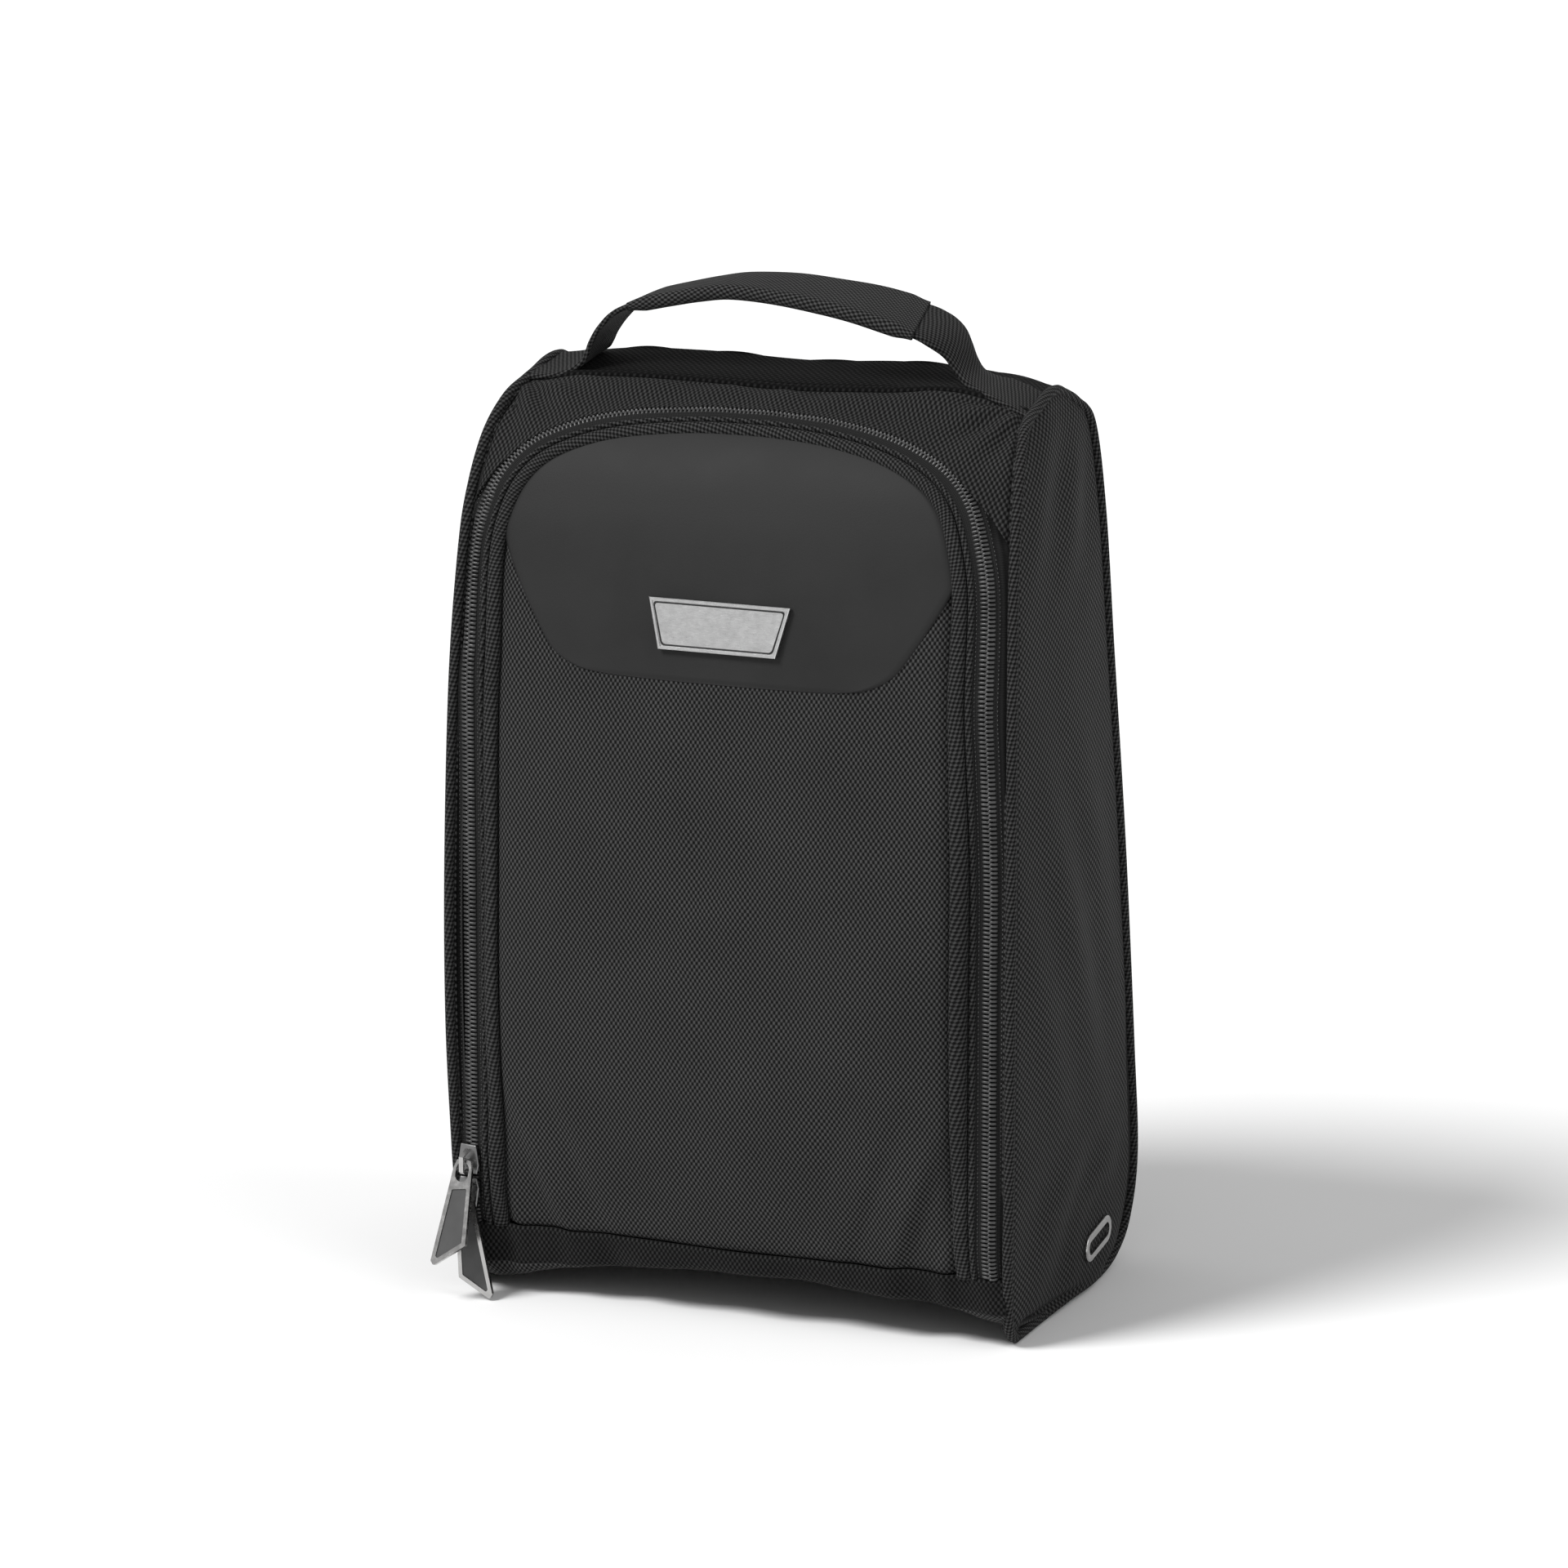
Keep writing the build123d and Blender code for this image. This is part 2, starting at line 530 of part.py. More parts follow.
def slider_body(mouth_down):
    """A slider: a shaped top plate with side lips, a guide blade and a lower plate inside."""
    half = SLIDER_LENGTH / 2
    mouth = SLIDER_HALF_MOUTH
    tail = SLIDER_HALF_TAIL
    turn = 1 if mouth_down else -1
    wide_y = -turn * half * 0.35
    right = [(tail, turn * half), (mouth, wide_y), (mouth - 1.0, -turn * half)]
    left = [(-x, y) for x, y in reversed(right)]
    outline = Polygon(*right, *left, align=None)
    outline = fillet(outline.vertices(), 0.5)
    top = Pos(0, 0, 0.9) * extrude(outline, amount=1.3, dir=(0, 0, 1))
    top = chamfer(top.faces().sort_by(Axis.Z)[-1].edges(), 0.35)
    lip = Box(0.9, SLIDER_LENGTH * 0.55, 1.8, align=STAND)
    lips = [Pos(s * (COIL_HALF + 0.75), -turn * half * 0.25, -0.75) * lip for s in (-1, 1)]
    blade = Pos(-0.1, 0, 1.0) * Box(0.4, SLIDER_LENGTH * 0.6, 3.6, align=HANG)
    lower = Pos(0, 0, -TAPE_IN - 0.35 - 1.0) * extrude(outline, amount=1.0, dir=(0, 0, 1))
    return top + lips[0] + lips[1] + blade + lower


def slider_bridge():
    """The bail over a slider, which the pull hangs on: two feet and an arched strap."""
    low = -PIVOT_DROP - 3.5
    high = -PIVOT_DROP + 6.0
    top_out = PIVOT_OUT + 2.2
    under_out = PIVOT_OUT + 1.3
    outer = Polygon(
        (low, 2.25), (low, top_out - 1.0), (low + 1.0, top_out), (high - 2.6, top_out),
        (high, 2.25), align=None,
    )
    inner = Polygon(
        (low + 0.9, 2.0), (low + 0.9, under_out - 0.5), (low + 1.4, under_out), (high - 2.9, under_out),
        (high - 1.1, 2.0), align=None,
    )
    return extrude(Plane.YZ * (outer - inner), amount=1.0, both=True)


def pull_outline(mirrored):
    """A pull's long frame: round at the eye, spreading to a slanted foot. Local y points down it."""
    sign = -1 if mirrored else 1
    eye_end = [(-2.9 * sign, -1.7), (2.9 * sign, -1.7), (3.9 * sign, 2.0)]
    foot = [(6.3 * sign, PULL_LENGTH - 10.5), (-5.6 * sign, PULL_LENGTH - 1.2)]
    back = [(-7.0 * sign, PULL_LENGTH - 3.0), (-3.9 * sign, 2.0)]
    return Polygon(*eye_end, *foot, *back, align=None)


def pull_parts(mirrored):
    """A pull's metal frame and its moulded inlay, in the pull's own frame."""
    sign = -1 if mirrored else 1
    frame = extrude(fillet(pull_outline(mirrored).vertices(), 0.8), amount=PULL_THICK / 2, both=True)
    eye = Pos(0, 3.0) * SlotOverall(7.6, 5.4, rotation=90)
    window = Polygon(
        (-3.0 * sign, 10.2), (3.0 * sign, 9.2), (4.6 * sign, PULL_LENGTH - 11.4),
        (-4.5 * sign, PULL_LENGTH - 4.2), (-5.3 * sign, PULL_LENGTH - 5.0), align=None,
    )
    window = fillet(window.vertices(), 0.6)
    frame = frame - extrude(eye, amount=PULL_THICK, both=True)
    frame = frame - extrude(window, amount=PULL_THICK, both=True)
    rims = frame.faces().filter_by(Axis.Z)
    frame = chamfer(rims.sort_by(Axis.Z)[-1].outer_wire().edges(), 0.3)
    inlay = extrude(offset(window, amount=-0.05), amount=PULL_THICK / 2 - 0.4, both=True)
    return frame, inlay


def pull_frame_location(z, sway, lean):
    """The pull's place: its eye on the bridge, hanging with a sway across and a lean outwards."""
    spot = slider_frame(z)
    pivot = spot.origin + spot.z_dir * PIVOT_OUT
    hang = Plane(origin=pivot, x_dir=(1, 0, 0), z_dir=(0, 1, 0))
    return hang.location * Rot(-lean, 0, 0) * Rot(0, 0, sway)


def slider_nodes():
    """Both sliders with their bridges and pulls, parked one above the other."""
    nodes = {}
    settings = (
        ("upper", UPPER_SLIDER_Z, True, False, UPPER_PULL_SWAY, UPPER_PULL_LEAN),
        ("lower", LOWER_SLIDER_Z, False, True, LOWER_PULL_SWAY, LOWER_PULL_LEAN),
    )
    for name, slider_z, mouth_down, mirrored, sway, lean in settings:
        place = slider_frame(slider_z).location
        frame, inlay = pull_parts(mirrored)
        hang = pull_frame_location(slider_z - PIVOT_DROP, sway, lean)
        nodes[f"{name}_slider_body"] = place * slider_body(mouth_down)
        nodes[f"{name}_slider_bridge"] = place * slider_bridge()
        nodes[f"{name}_pull_frame"] = hang * frame
        nodes[f"{name}_pull_inlay"] = hang * inlay
    return nodes


def main():
    """Build every sub-part and write it to its own file."""
    nodes = {}
    nodes.update(door_nodes())
    nodes.update(fixed_zip_nodes())
    nodes.update(wrap_nodes())
    for side, name in ((-1, "left"), (1, "right")):
        nodes.update(side_nodes(side, name))
        nodes.update(eyelet_nodes(side, name))
    nodes.update(inner_nodes())
    nodes.update(handle_nodes())
    nodes.update(slider_nodes())
    os.makedirs("parts", exist_ok=True)
    for name, shape in nodes.items():
        export_step(Part() + shape, f"parts/{name}.step")


main()
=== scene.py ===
"""Looks of the golf shoe bag: soft fabric shells, zip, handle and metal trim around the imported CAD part.

Shapes are worked out in millimetres in the part's own frame and turned into metres when a mesh is made.
The front wall is one smooth surface, front_wall(x, s): x is across it and s is the length up its centre
line. The door panel, yoke, piping, tapes, coil and surround are all laid on that surface.
"""

import math

import bpy
import numpy as np
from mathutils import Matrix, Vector


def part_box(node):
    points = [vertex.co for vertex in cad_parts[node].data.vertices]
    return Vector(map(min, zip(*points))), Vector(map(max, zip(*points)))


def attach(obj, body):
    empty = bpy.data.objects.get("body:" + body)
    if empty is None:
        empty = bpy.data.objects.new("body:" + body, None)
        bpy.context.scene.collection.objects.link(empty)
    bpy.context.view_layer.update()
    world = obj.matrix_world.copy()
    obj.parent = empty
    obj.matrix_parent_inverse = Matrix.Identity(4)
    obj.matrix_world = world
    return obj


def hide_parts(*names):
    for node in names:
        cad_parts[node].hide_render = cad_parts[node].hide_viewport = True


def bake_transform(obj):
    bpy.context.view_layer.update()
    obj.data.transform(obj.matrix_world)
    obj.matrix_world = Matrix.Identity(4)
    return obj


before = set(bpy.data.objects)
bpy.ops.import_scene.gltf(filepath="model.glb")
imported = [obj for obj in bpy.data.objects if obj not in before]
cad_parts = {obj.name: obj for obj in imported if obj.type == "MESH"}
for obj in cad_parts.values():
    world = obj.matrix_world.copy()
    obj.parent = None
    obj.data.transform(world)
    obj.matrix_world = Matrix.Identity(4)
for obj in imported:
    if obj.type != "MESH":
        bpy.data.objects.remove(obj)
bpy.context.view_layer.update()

MM = 0.001


def cad_box(node):
    """A CAD node's lowest and highest corners, in millimetres."""
    low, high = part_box(node)
    return np.array(low) / MM, np.array(high) / MM


def cad_middle(node):
    """The middle of a CAD node's box, in millimetres."""
    low, high = cad_box(node)
    return (low + high) / 2


def cad_depth(node):
    """A CAD node's size from front to back, in millimetres."""
    low, high = cad_box(node)
    return high[1] - low[1]


# ---- driving sizes, read from the CAD part ----
SLIDER_OUTWARDS = 0.4       # how far the slider's middle lies outside the coil's centre line
HALF_WIDTH = cad_box("side_panel_right")[1][0]
FRONT_Y = cad_box("door_panel")[0][1]
ZIP_X = -cad_middle("upper_slider_body")[0] - SLIDER_OUTWARDS
DOOR_SEAM_Z = cad_box("fold_panel")[0][2]
TOP_SEAM_Y = cad_box("top_panel")[0][1]
STRIP_BACK_Y = cad_box("top_panel")[1][1]
HANDLE_Y = cad_middle("handle_strap")[1]
STRAP_WIDTH = cad_depth("handle_strap")
GRIP_WIDTH = cad_depth("grip_cover")
EYELET_Y = cad_middle("vent_eyelet_right")[1]
EYELET_Z = cad_middle("vent_eyelet_right")[2]

# ---- zip and piping, as distances from the coil's centre line ----
COIL_PITCH = 1.7
TAPE_EDGE = 6.3
TAPE_HIDDEN = 12.0          # the most a tape's outer edge runs on under the seam
PIPE_OUTER = 8.0
PIPE_INNER = 14.1
PIPE_RISE = 2.3
PANEL_EDGE = 11.0
CLOTH_THICK = 1.1

# how deep the cloth is pulled in at the corner seams, beside the piping and at the door's lower seam
SEAM_GROOVE = 1.2
PANEL_GROOVE = 2.3
FOOT_GROOVE = 1.3


# ---- curves ----
def smooth_path(points, count):
    """Points evenly spaced along a smooth curve through the given ones."""
    p = np.array(points, float)
    p = np.vstack([2 * p[0] - p[1], p, 2 * p[-1] - p[-2]])
    pieces = []
    for a, b, c, d in zip(p[:-3], p[1:-2], p[2:-1], p[3:]):
        t = np.linspace(0, 1, 24, endpoint=False)[:, None]
        pieces.append(0.5 * (2 * b + (c - a) * t + (2 * a - 5 * b + 4 * c - d) * t**2
                             + (3 * b - a - 3 * c + d) * t**3))
    pieces.append(p[-2][None])
    return even(np.vstack(pieces), count)


def lengths(path):
    """The distance along a path to each of its points."""
    steps = np.linalg.norm(np.diff(path, axis=0), axis=1)
    return np.concatenate([[0], np.cumsum(steps)])


def sample(path, at):
    """Points of a path at the given distances along it."""
    along = lengths(path)
    return np.stack([np.interp(at, along, path[:, k]) for k in range(path.shape[1])], -1)


def even(path, count):
    """The same path with evenly spaced points."""
    return sample(path, np.linspace(0, lengths(path)[-1], count))


def unit(vectors):
    """The same vectors at length 1."""
    return vectors / np.linalg.norm(vectors, axis=-1, keepdims=True)


def ease(value, start, end):
    """Rises smoothly from 0 at start to 1 at end."""
    t = np.clip((value - start) / (end - start), 0, 1)
    return t * t * (3 - 2 * t)


def plateau(value, start, full, fading, end):
    """1 from full to fading, falling smoothly to 0 at start and at end."""
    return ease(value, start, full) * (1 - ease(value, fading, end))


def bump(value, middle, half):
    """A smooth hill of height 1 at middle, gone at half on either side."""
    t = np.clip(np.abs(value - middle) / half, 0, 1)
    return (1 - t * t) ** 2


def bell(value, middle, reach):
    """A bell of height 1 at middle, down to about a third at reach on either side."""
    return np.exp(-(((value - middle) / reach) ** 2))


def wave(value, length, shift=0.0):
    """A sine wave that repeats every two pi lengths."""
    return np.sin(value / length + shift)


# ---- the bag's seams ----
# the front wall's centre line, as (y, z)
CENTRE_LINE = [(-67.5, 12), (-71.5, 28), (-79, 55), (-84, 88), (-86, 130), (-86, 180), (-84, 225),
               (-80, 262), (-75, 293), (-69, 314), (-59.5, 333), (-44, 348), (TOP_SEAM_Y, 355.5)]

# the right side's seams, upwards in front and downwards behind, as (x, y, z)
FRONT_SEAM = [(110.9, -55.5, 2.2), (111.4, -62.4, 6.8), (111.9, -66.2, 14.5), (112.4, -68, 24),
              (113.3, -70.4, 44), (114, -71.6, 64), (114.8, -73.7, 110), (114.7, -73.4, 170),
              (113.5, -70.3, 243), (111.6, -64.6, 293), (110.2, -58.5, 316), (108, -49, 335),
              (105, -37, 347), (103, TOP_SEAM_Y, 351.5)]
BACK_SEAM = [(102.1, STRIP_BACK_Y, 354.6), (103.7, 24, 349), (106.5, 33, 339), (110.5, 34.3, 305),
             (113.3, 37.3, 250), (114.6, 49.3, 170), (114.6, 61.8, 88), (113, 71.6, 42), (112.2, 66, 17),
             (112, 52, 6), (111.9, 34, 2.2)]

# heights across the bag, as (x, z): the top strip's two edges and the lower band's foot
TOP_SEAM = [(-105, 352.6), (-98, 351.8), (-84, 354.2), (-67, 355.3), (-30, 355.6), (5, 354.8),
            (44, 356.6), (77, 358.4), (88, 356.3), (98, 353.4), (105, 351)]
STRIP_BACK = [(-105, 355.6), (-96, 357), (-74, 360), (-45, 361), (5, 360.2), (40, 362.2), (70, 361.3),
              (88, 358.9), (98, 357), (105, 355.2)]
BASE_FRONT = [(-114, 5.5), (-104, 5), (-97, 5.6), (-85, 8.5), (-66, 12.6), (-38, 15.8), (0, 18.2),
              (30, 18.2), (64, 15.8), (92, 13.4), (104, 9.6), (114, 6.5)]

# the zip's arch above its straight legs, its left and its slightly narrower right half, as (x, z)
LEG_TOP_Z = 225
RIGHT_LEG_IN = 2.6
ZIP_ARCH = [(ZIP_X, 252), (106.4, 290), (102.8, 310.5), (95.5, 326), (82.5, 337), (60, 344.6), (30, 348.2)]
ZIP_ARCH_RIGHT = [(ZIP_X - RIGHT_LEG_IN, 252), (102.6, 290), (98.2, 310.5), (90.8, 326), (78.5, 336.6),
                  (58, 344), (30, 348)]
ZIP_CROWN = (0, 349)

# the right half of the yoke's lower edge, as (x, z)
YOKE_LINE = [(93, 306), (91.5, 297), (84.5, 283), (76, 269.5), (69.5, 260.5), (61, 255.2), (50, 253),
             (25, 252.2), (0, 252.1)]


def along_x(table, x):
    """A smooth value by x, from a short table of (x, value)."""
    at, value = np.array(table, float).T
    slope = np.gradient(value, at)
    k = np.clip(np.searchsorted(at, x) - 1, 0, len(at) - 2)
    wide = at[k + 1] - at[k]
    t = np.clip((x - at[k]) / wide, 0, 1)
    start = value[k] * (1 + 2 * t) + slope[k] * wide * t
    end = value[k + 1] * (3 - 2 * t) - slope[k + 1] * wide * (1 - t)
    return start * (1 - t) ** 2 + end * t**2


STATIONS = 700
SPLIT_Z = 280.0             # below this the centre line and the seam are matched by height


def matched_lines():
    """The centre line and the corner seam, point by point at the same stations."""
    centre = smooth_path(CENTRE_LINE, 2000)
    seam = smooth_path(FRONT_SEAM, 2000)
    along = np.linspace(0, lengths(centre)[-1], STATIONS)
    centre_points = sample(centre, along)
    split = np.interp(SPLIT_Z, centre[:, 1], lengths(centre))
    seam_split = np.interp(SPLIT_Z, seam[:, 2], lengths(seam))
    by_height = np.interp(centre_points[:, 1], seam[:, 2], lengths(seam))
    share = (along - split) / (along[-1] - split)
    by_length = seam_split + share * (lengths(seam)[-1] - seam_split)
    return along, centre_points, sample(seam, np.where(along < split, by_height, by_length))


ALONG, CENTRE, SEAM = matched_lines()
S_TOP = ALONG[-1]


def s_of_z(z, x=0.0):
    """How far up the centre line the front wall reaches height z, at one x."""
    share = min(abs(x) / HALF_WIDTH, 1.0) ** 3
    heights = CENTRE[:, 1] * (1 - share) + SEAM[:, 2] * share
    return float(np.interp(z, heights, ALONG))


def seam_x(s):
    """Half the front wall's width at s."""
    return np.interp(s, ALONG, SEAM[:, 0])


# ---- folds of the front wall; heights and reaches in millimetres ----
CORNER_FOLD_X = 80.0        # slanting folds at the door's lower corners
CORNER_FOLD_Z = 44.0
CORNER_FOLD_REACH = 26.0
CORNER_FOLD = 1.25
CORNER_CREASE = 0.3
LOW_FOLD_Z = 78.0           # shallow waves above the door's fold
LOW_FOLD = 0.8
TAUT_FROM_Z = 238.0         # the cloth is drawn flat above here, behind the yoke
TAUT_SHARE = 0.85
GATHERS = ((0.8, 4.6, 0.0, 1.2), (0.6, 9.7, 2.0, 0.0))     # at the top seam: height, length, shift, sway
GATHER_REACH = 11.0
RAY_CENTRE_X = 106.0        # folds that fan out from the two top corners
RAY_CENTRE_UP = 5.0
RAY_REACH = 25.0
RAY_FOLD = 1.2
RAYS = 13.0


def wrinkles(x, s):
    """How far the front fabric stands out from its plain form, in millimetres."""
    x, s = np.broadcast_arrays(np.asarray(x, float), np.asarray(s, float))
    top = s - S_TOP
    out = 0.7 * wave(x, 23.0, 0.9) * wave(s, 41.0, 0.4)
    out += 0.5 * np.sin(x / 11.0 - s / 47.0 + 2.1) * wave(s, 29.0)
    for side in (-1, 1):
        up = s - s_of_z(CORNER_FOLD_Z)
        corner = np.hypot(side * x - CORNER_FOLD_X, up * 0.7)
        slant = up * 0.35 - side * x * 0.94
        folds = CORNER_FOLD * wave(slant, 3.6, 0.8) + CORNER_CREASE * wave(slant, 1.6)
        out += bell(corner, 0, CORNER_FOLD_REACH) * folds
    out += LOW_FOLD * bell(s, s_of_z(LOW_FOLD_Z), 22.0) * wave(x, 13.5, 0.6) * np.cos(s / 13.0)
    out *= 1 - TAUT_SHARE * ease(s, s_of_z(TAUT_FROM_Z), s_of_z(TAUT_FROM_Z + 18))
    for height, length, shift, sway in GATHERS:
        out += np.exp(top / GATHER_REACH) * height * wave(x, length, shift + sway * wave(x, 19.0))
    in_from = RAY_CENTRE_X - np.abs(x)
    down_from = RAY_CENTRE_UP - top
    spread = np.arctan2(down_from, in_from)
    away = np.hypot(in_from, down_from)
    out += RAY_FOLD * bell(away, RAY_REACH, 14.0) * np.sin(RAYS * spread + 0.7 * np.sign(x))
    return out


CAD_BOW = 1048.0                        # the CAD front stands back by x * x / CAD_BOW
SLIDER_LEG_Z = (16, 44, 236, 262)       # along the sliders' leg the cloth lies on the CAD front
SLIDER_LEG_X = (92, 101, 110, 114)
PLAIN_EDGE = 0.86                       # folds die out from this share of the half width
PLAIN_EDGE_TOP = 0.93                   # and from this one near the top
PLAIN_TOP_DOWN = (110, 80)              # the change between the two, as distances below the top seam
FADE_SHARE = 0.07
SEAM_GROOVE_IN = 2.2
SEAM_GROOVE_REACH = 1.3


def front_point(x, s):
    """The front wall's own points, without folds or any offset."""
    x = np.asarray(x, float)
    s = np.asarray(s, float)
    inside = np.clip(s, 0, S_TOP)
    centre_y = np.interp(inside, ALONG, CENTRE[:, 0])
    centre_z = np.interp(inside, ALONG, CENTRE[:, 1])
    edge_y = np.interp(inside, ALONG, SEAM[:, 1])
    edge_z = np.interp(inside, ALONG, SEAM[:, 2])
    share = (np.abs(x) / seam_x(inside)) ** 3
    y = centre_y + (edge_y - centre_y) * share
    z = centre_z + (edge_z - centre_z) * share
    fit = plateau(z, *SLIDER_LEG_Z) * plateau(np.abs(x), *SLIDER_LEG_X)
    y = y + fit * (FRONT_Y + x * x / CAD_BOW - y)
    near_top = ease(inside, S_TOP - 16, S_TOP)
    z = z + near_top * (along_x(TOP_SEAM, x) - z)
    return np.stack([x + 0 * s, y, z], -1)


def front_wall(x, s, out=0.0):
    """Points on the front wall, out millimetres in front of it, with its folds."""
    x, s, out = np.broadcast_arrays(np.asarray(x, float), np.asarray(s, float), np.asarray(out, float))
    step = 0.6
    s_in = np.clip(s, step, S_TOP - step)
    across = front_point(x + step, s_in) - front_point(x - step, s_in)
    up = front_point(x, s_in + step) - front_point(x, s_in - step)
    normal = unit(np.cross(across, up))
    high = ease(s_in, S_TOP - PLAIN_TOP_DOWN[0], S_TOP - PLAIN_TOP_DOWN[1])
    plain = PLAIN_EDGE + (PLAIN_EDGE_TOP - PLAIN_EDGE) * high
    fade = 1 - ease(np.abs(x) / seam_x(s_in), plain, plain + FADE_SHARE)
    lift = out + wrinkles(x, s) * fade * (1 - ease(s, S_TOP - 3, S_TOP))
    lift = lift - SEAM_GROOVE * bell(seam_x(s_in) - np.abs(x), SEAM_GROOVE_IN, SEAM_GROOVE_REACH)
    return front_point(x, s) + normal * lift[..., None]


# ---- meshes ----
def new_object(name, vertices, faces, uvs, materials, picks=None):
    """A smooth-shaded mesh from points in millimetres, faces and a weave coordinate for each point."""
    mesh = bpy.data.meshes.new(name)
    mesh.from_pydata((np.asarray(vertices) * MM).tolist(), [], [list(map(int, f)) for f in faces])
    layer = mesh.uv_layers.new(name="weave")
    corner = np.zeros(len(mesh.loops), np.int32)
    mesh.loops.foreach_get("vertex_index", corner)
    layer.data.foreach_set("uv", (np.asarray(uvs, float)[corner] * MM).astype(np.float32).ravel())
    for material in materials:
        mesh.materials.append(material)
    if picks is not None:
        mesh.polygons.foreach_set("material_index", np.asarray(picks, np.int32))
    mesh.polygons.foreach_set("use_smooth", np.ones(len(mesh.polygons), bool))
    mesh.update()
    piece = bpy.data.objects.new(name, mesh)
    bpy.context.scene.collection.objects.link(piece)
    return piece


def grid_faces(rows, columns, start=0, flip=False):
    """Quads of a grid of points, row by row."""
    index = start + np.arange(rows * columns).reshape(rows, columns)
    quads = np.stack([index[:-1, :-1], index[:-1, 1:], index[1:, 1:], index[1:, :-1]], -1).reshape(-1, 4)
    return quads[:, ::-1] if flip else quads


def rim_faces(rows, columns, back):
    """Quads that close the gap between a front grid and the back grid that starts at index back."""
    index = np.arange(rows * columns).reshape(rows, columns)
    loop = np.concatenate([index[0, :-1], index[:-1, -1], index[-1, :0:-1], index[:0:-1, 0]])
    after = np.roll(loop, -1)
    return np.stack([after, loop, loop + back, after + back], -1)


def shell(name, outer, inner, uvs, material, inner_material=None):
    """A closed sheet between an outer and an inner grid of points."""
    rows, columns = outer.shape[:2]
    count = rows * columns
    vertices = np.vstack([outer.reshape(-1, 3), inner.reshape(-1, 3)])
    front = grid_faces(rows, columns)
    back = grid_faces(rows, columns, count, flip=True)
    rim = rim_faces(rows, columns, count)
    faces = np.vstack([front, back, rim])
    picks = np.concatenate([np.zeros(len(front)), np.ones(len(back)), np.zeros(len(rim))])
    flat = np.asarray(uvs, float).reshape(-1, 2)
    materials = [material, inner_material or material]
    return new_object(name, vertices, faces, np.vstack([flat, flat]), materials, picks)


def loop_uvs(section, along):
    """Weave coordinates of a loop-shaped section swept along a path."""
    girth = lengths(np.vstack([section, section[:1]]))[:-1]
    return np.stack(np.broadcast_arrays(girth[None], along[:, None]), -1)


def tube(name, rings, uvs, material, closed=False):
    """A mesh from rings of points, one after another along a path, with its ends capped unless closed."""
    rows, columns = rings.shape[:2]
    ring = np.arange(columns)
    after = np.roll(ring, -1)
    starts = np.arange(rows if closed else rows - 1)[:, None] * columns
    nexts = (np.arange(rows if closed else rows - 1)[:, None] + 1) % rows * columns
    faces = np.stack([starts + ring, starts + after, nexts + after, nexts + ring], -1).reshape(-1, 4).tolist()
    if not closed:
        faces.append(list(ring[::-1]))
        faces.append(list(ring + (rows - 1) * columns))
    return new_object(name, rings.reshape(-1, 3), faces, np.asarray(uvs, float).reshape(-1, 2), [material])


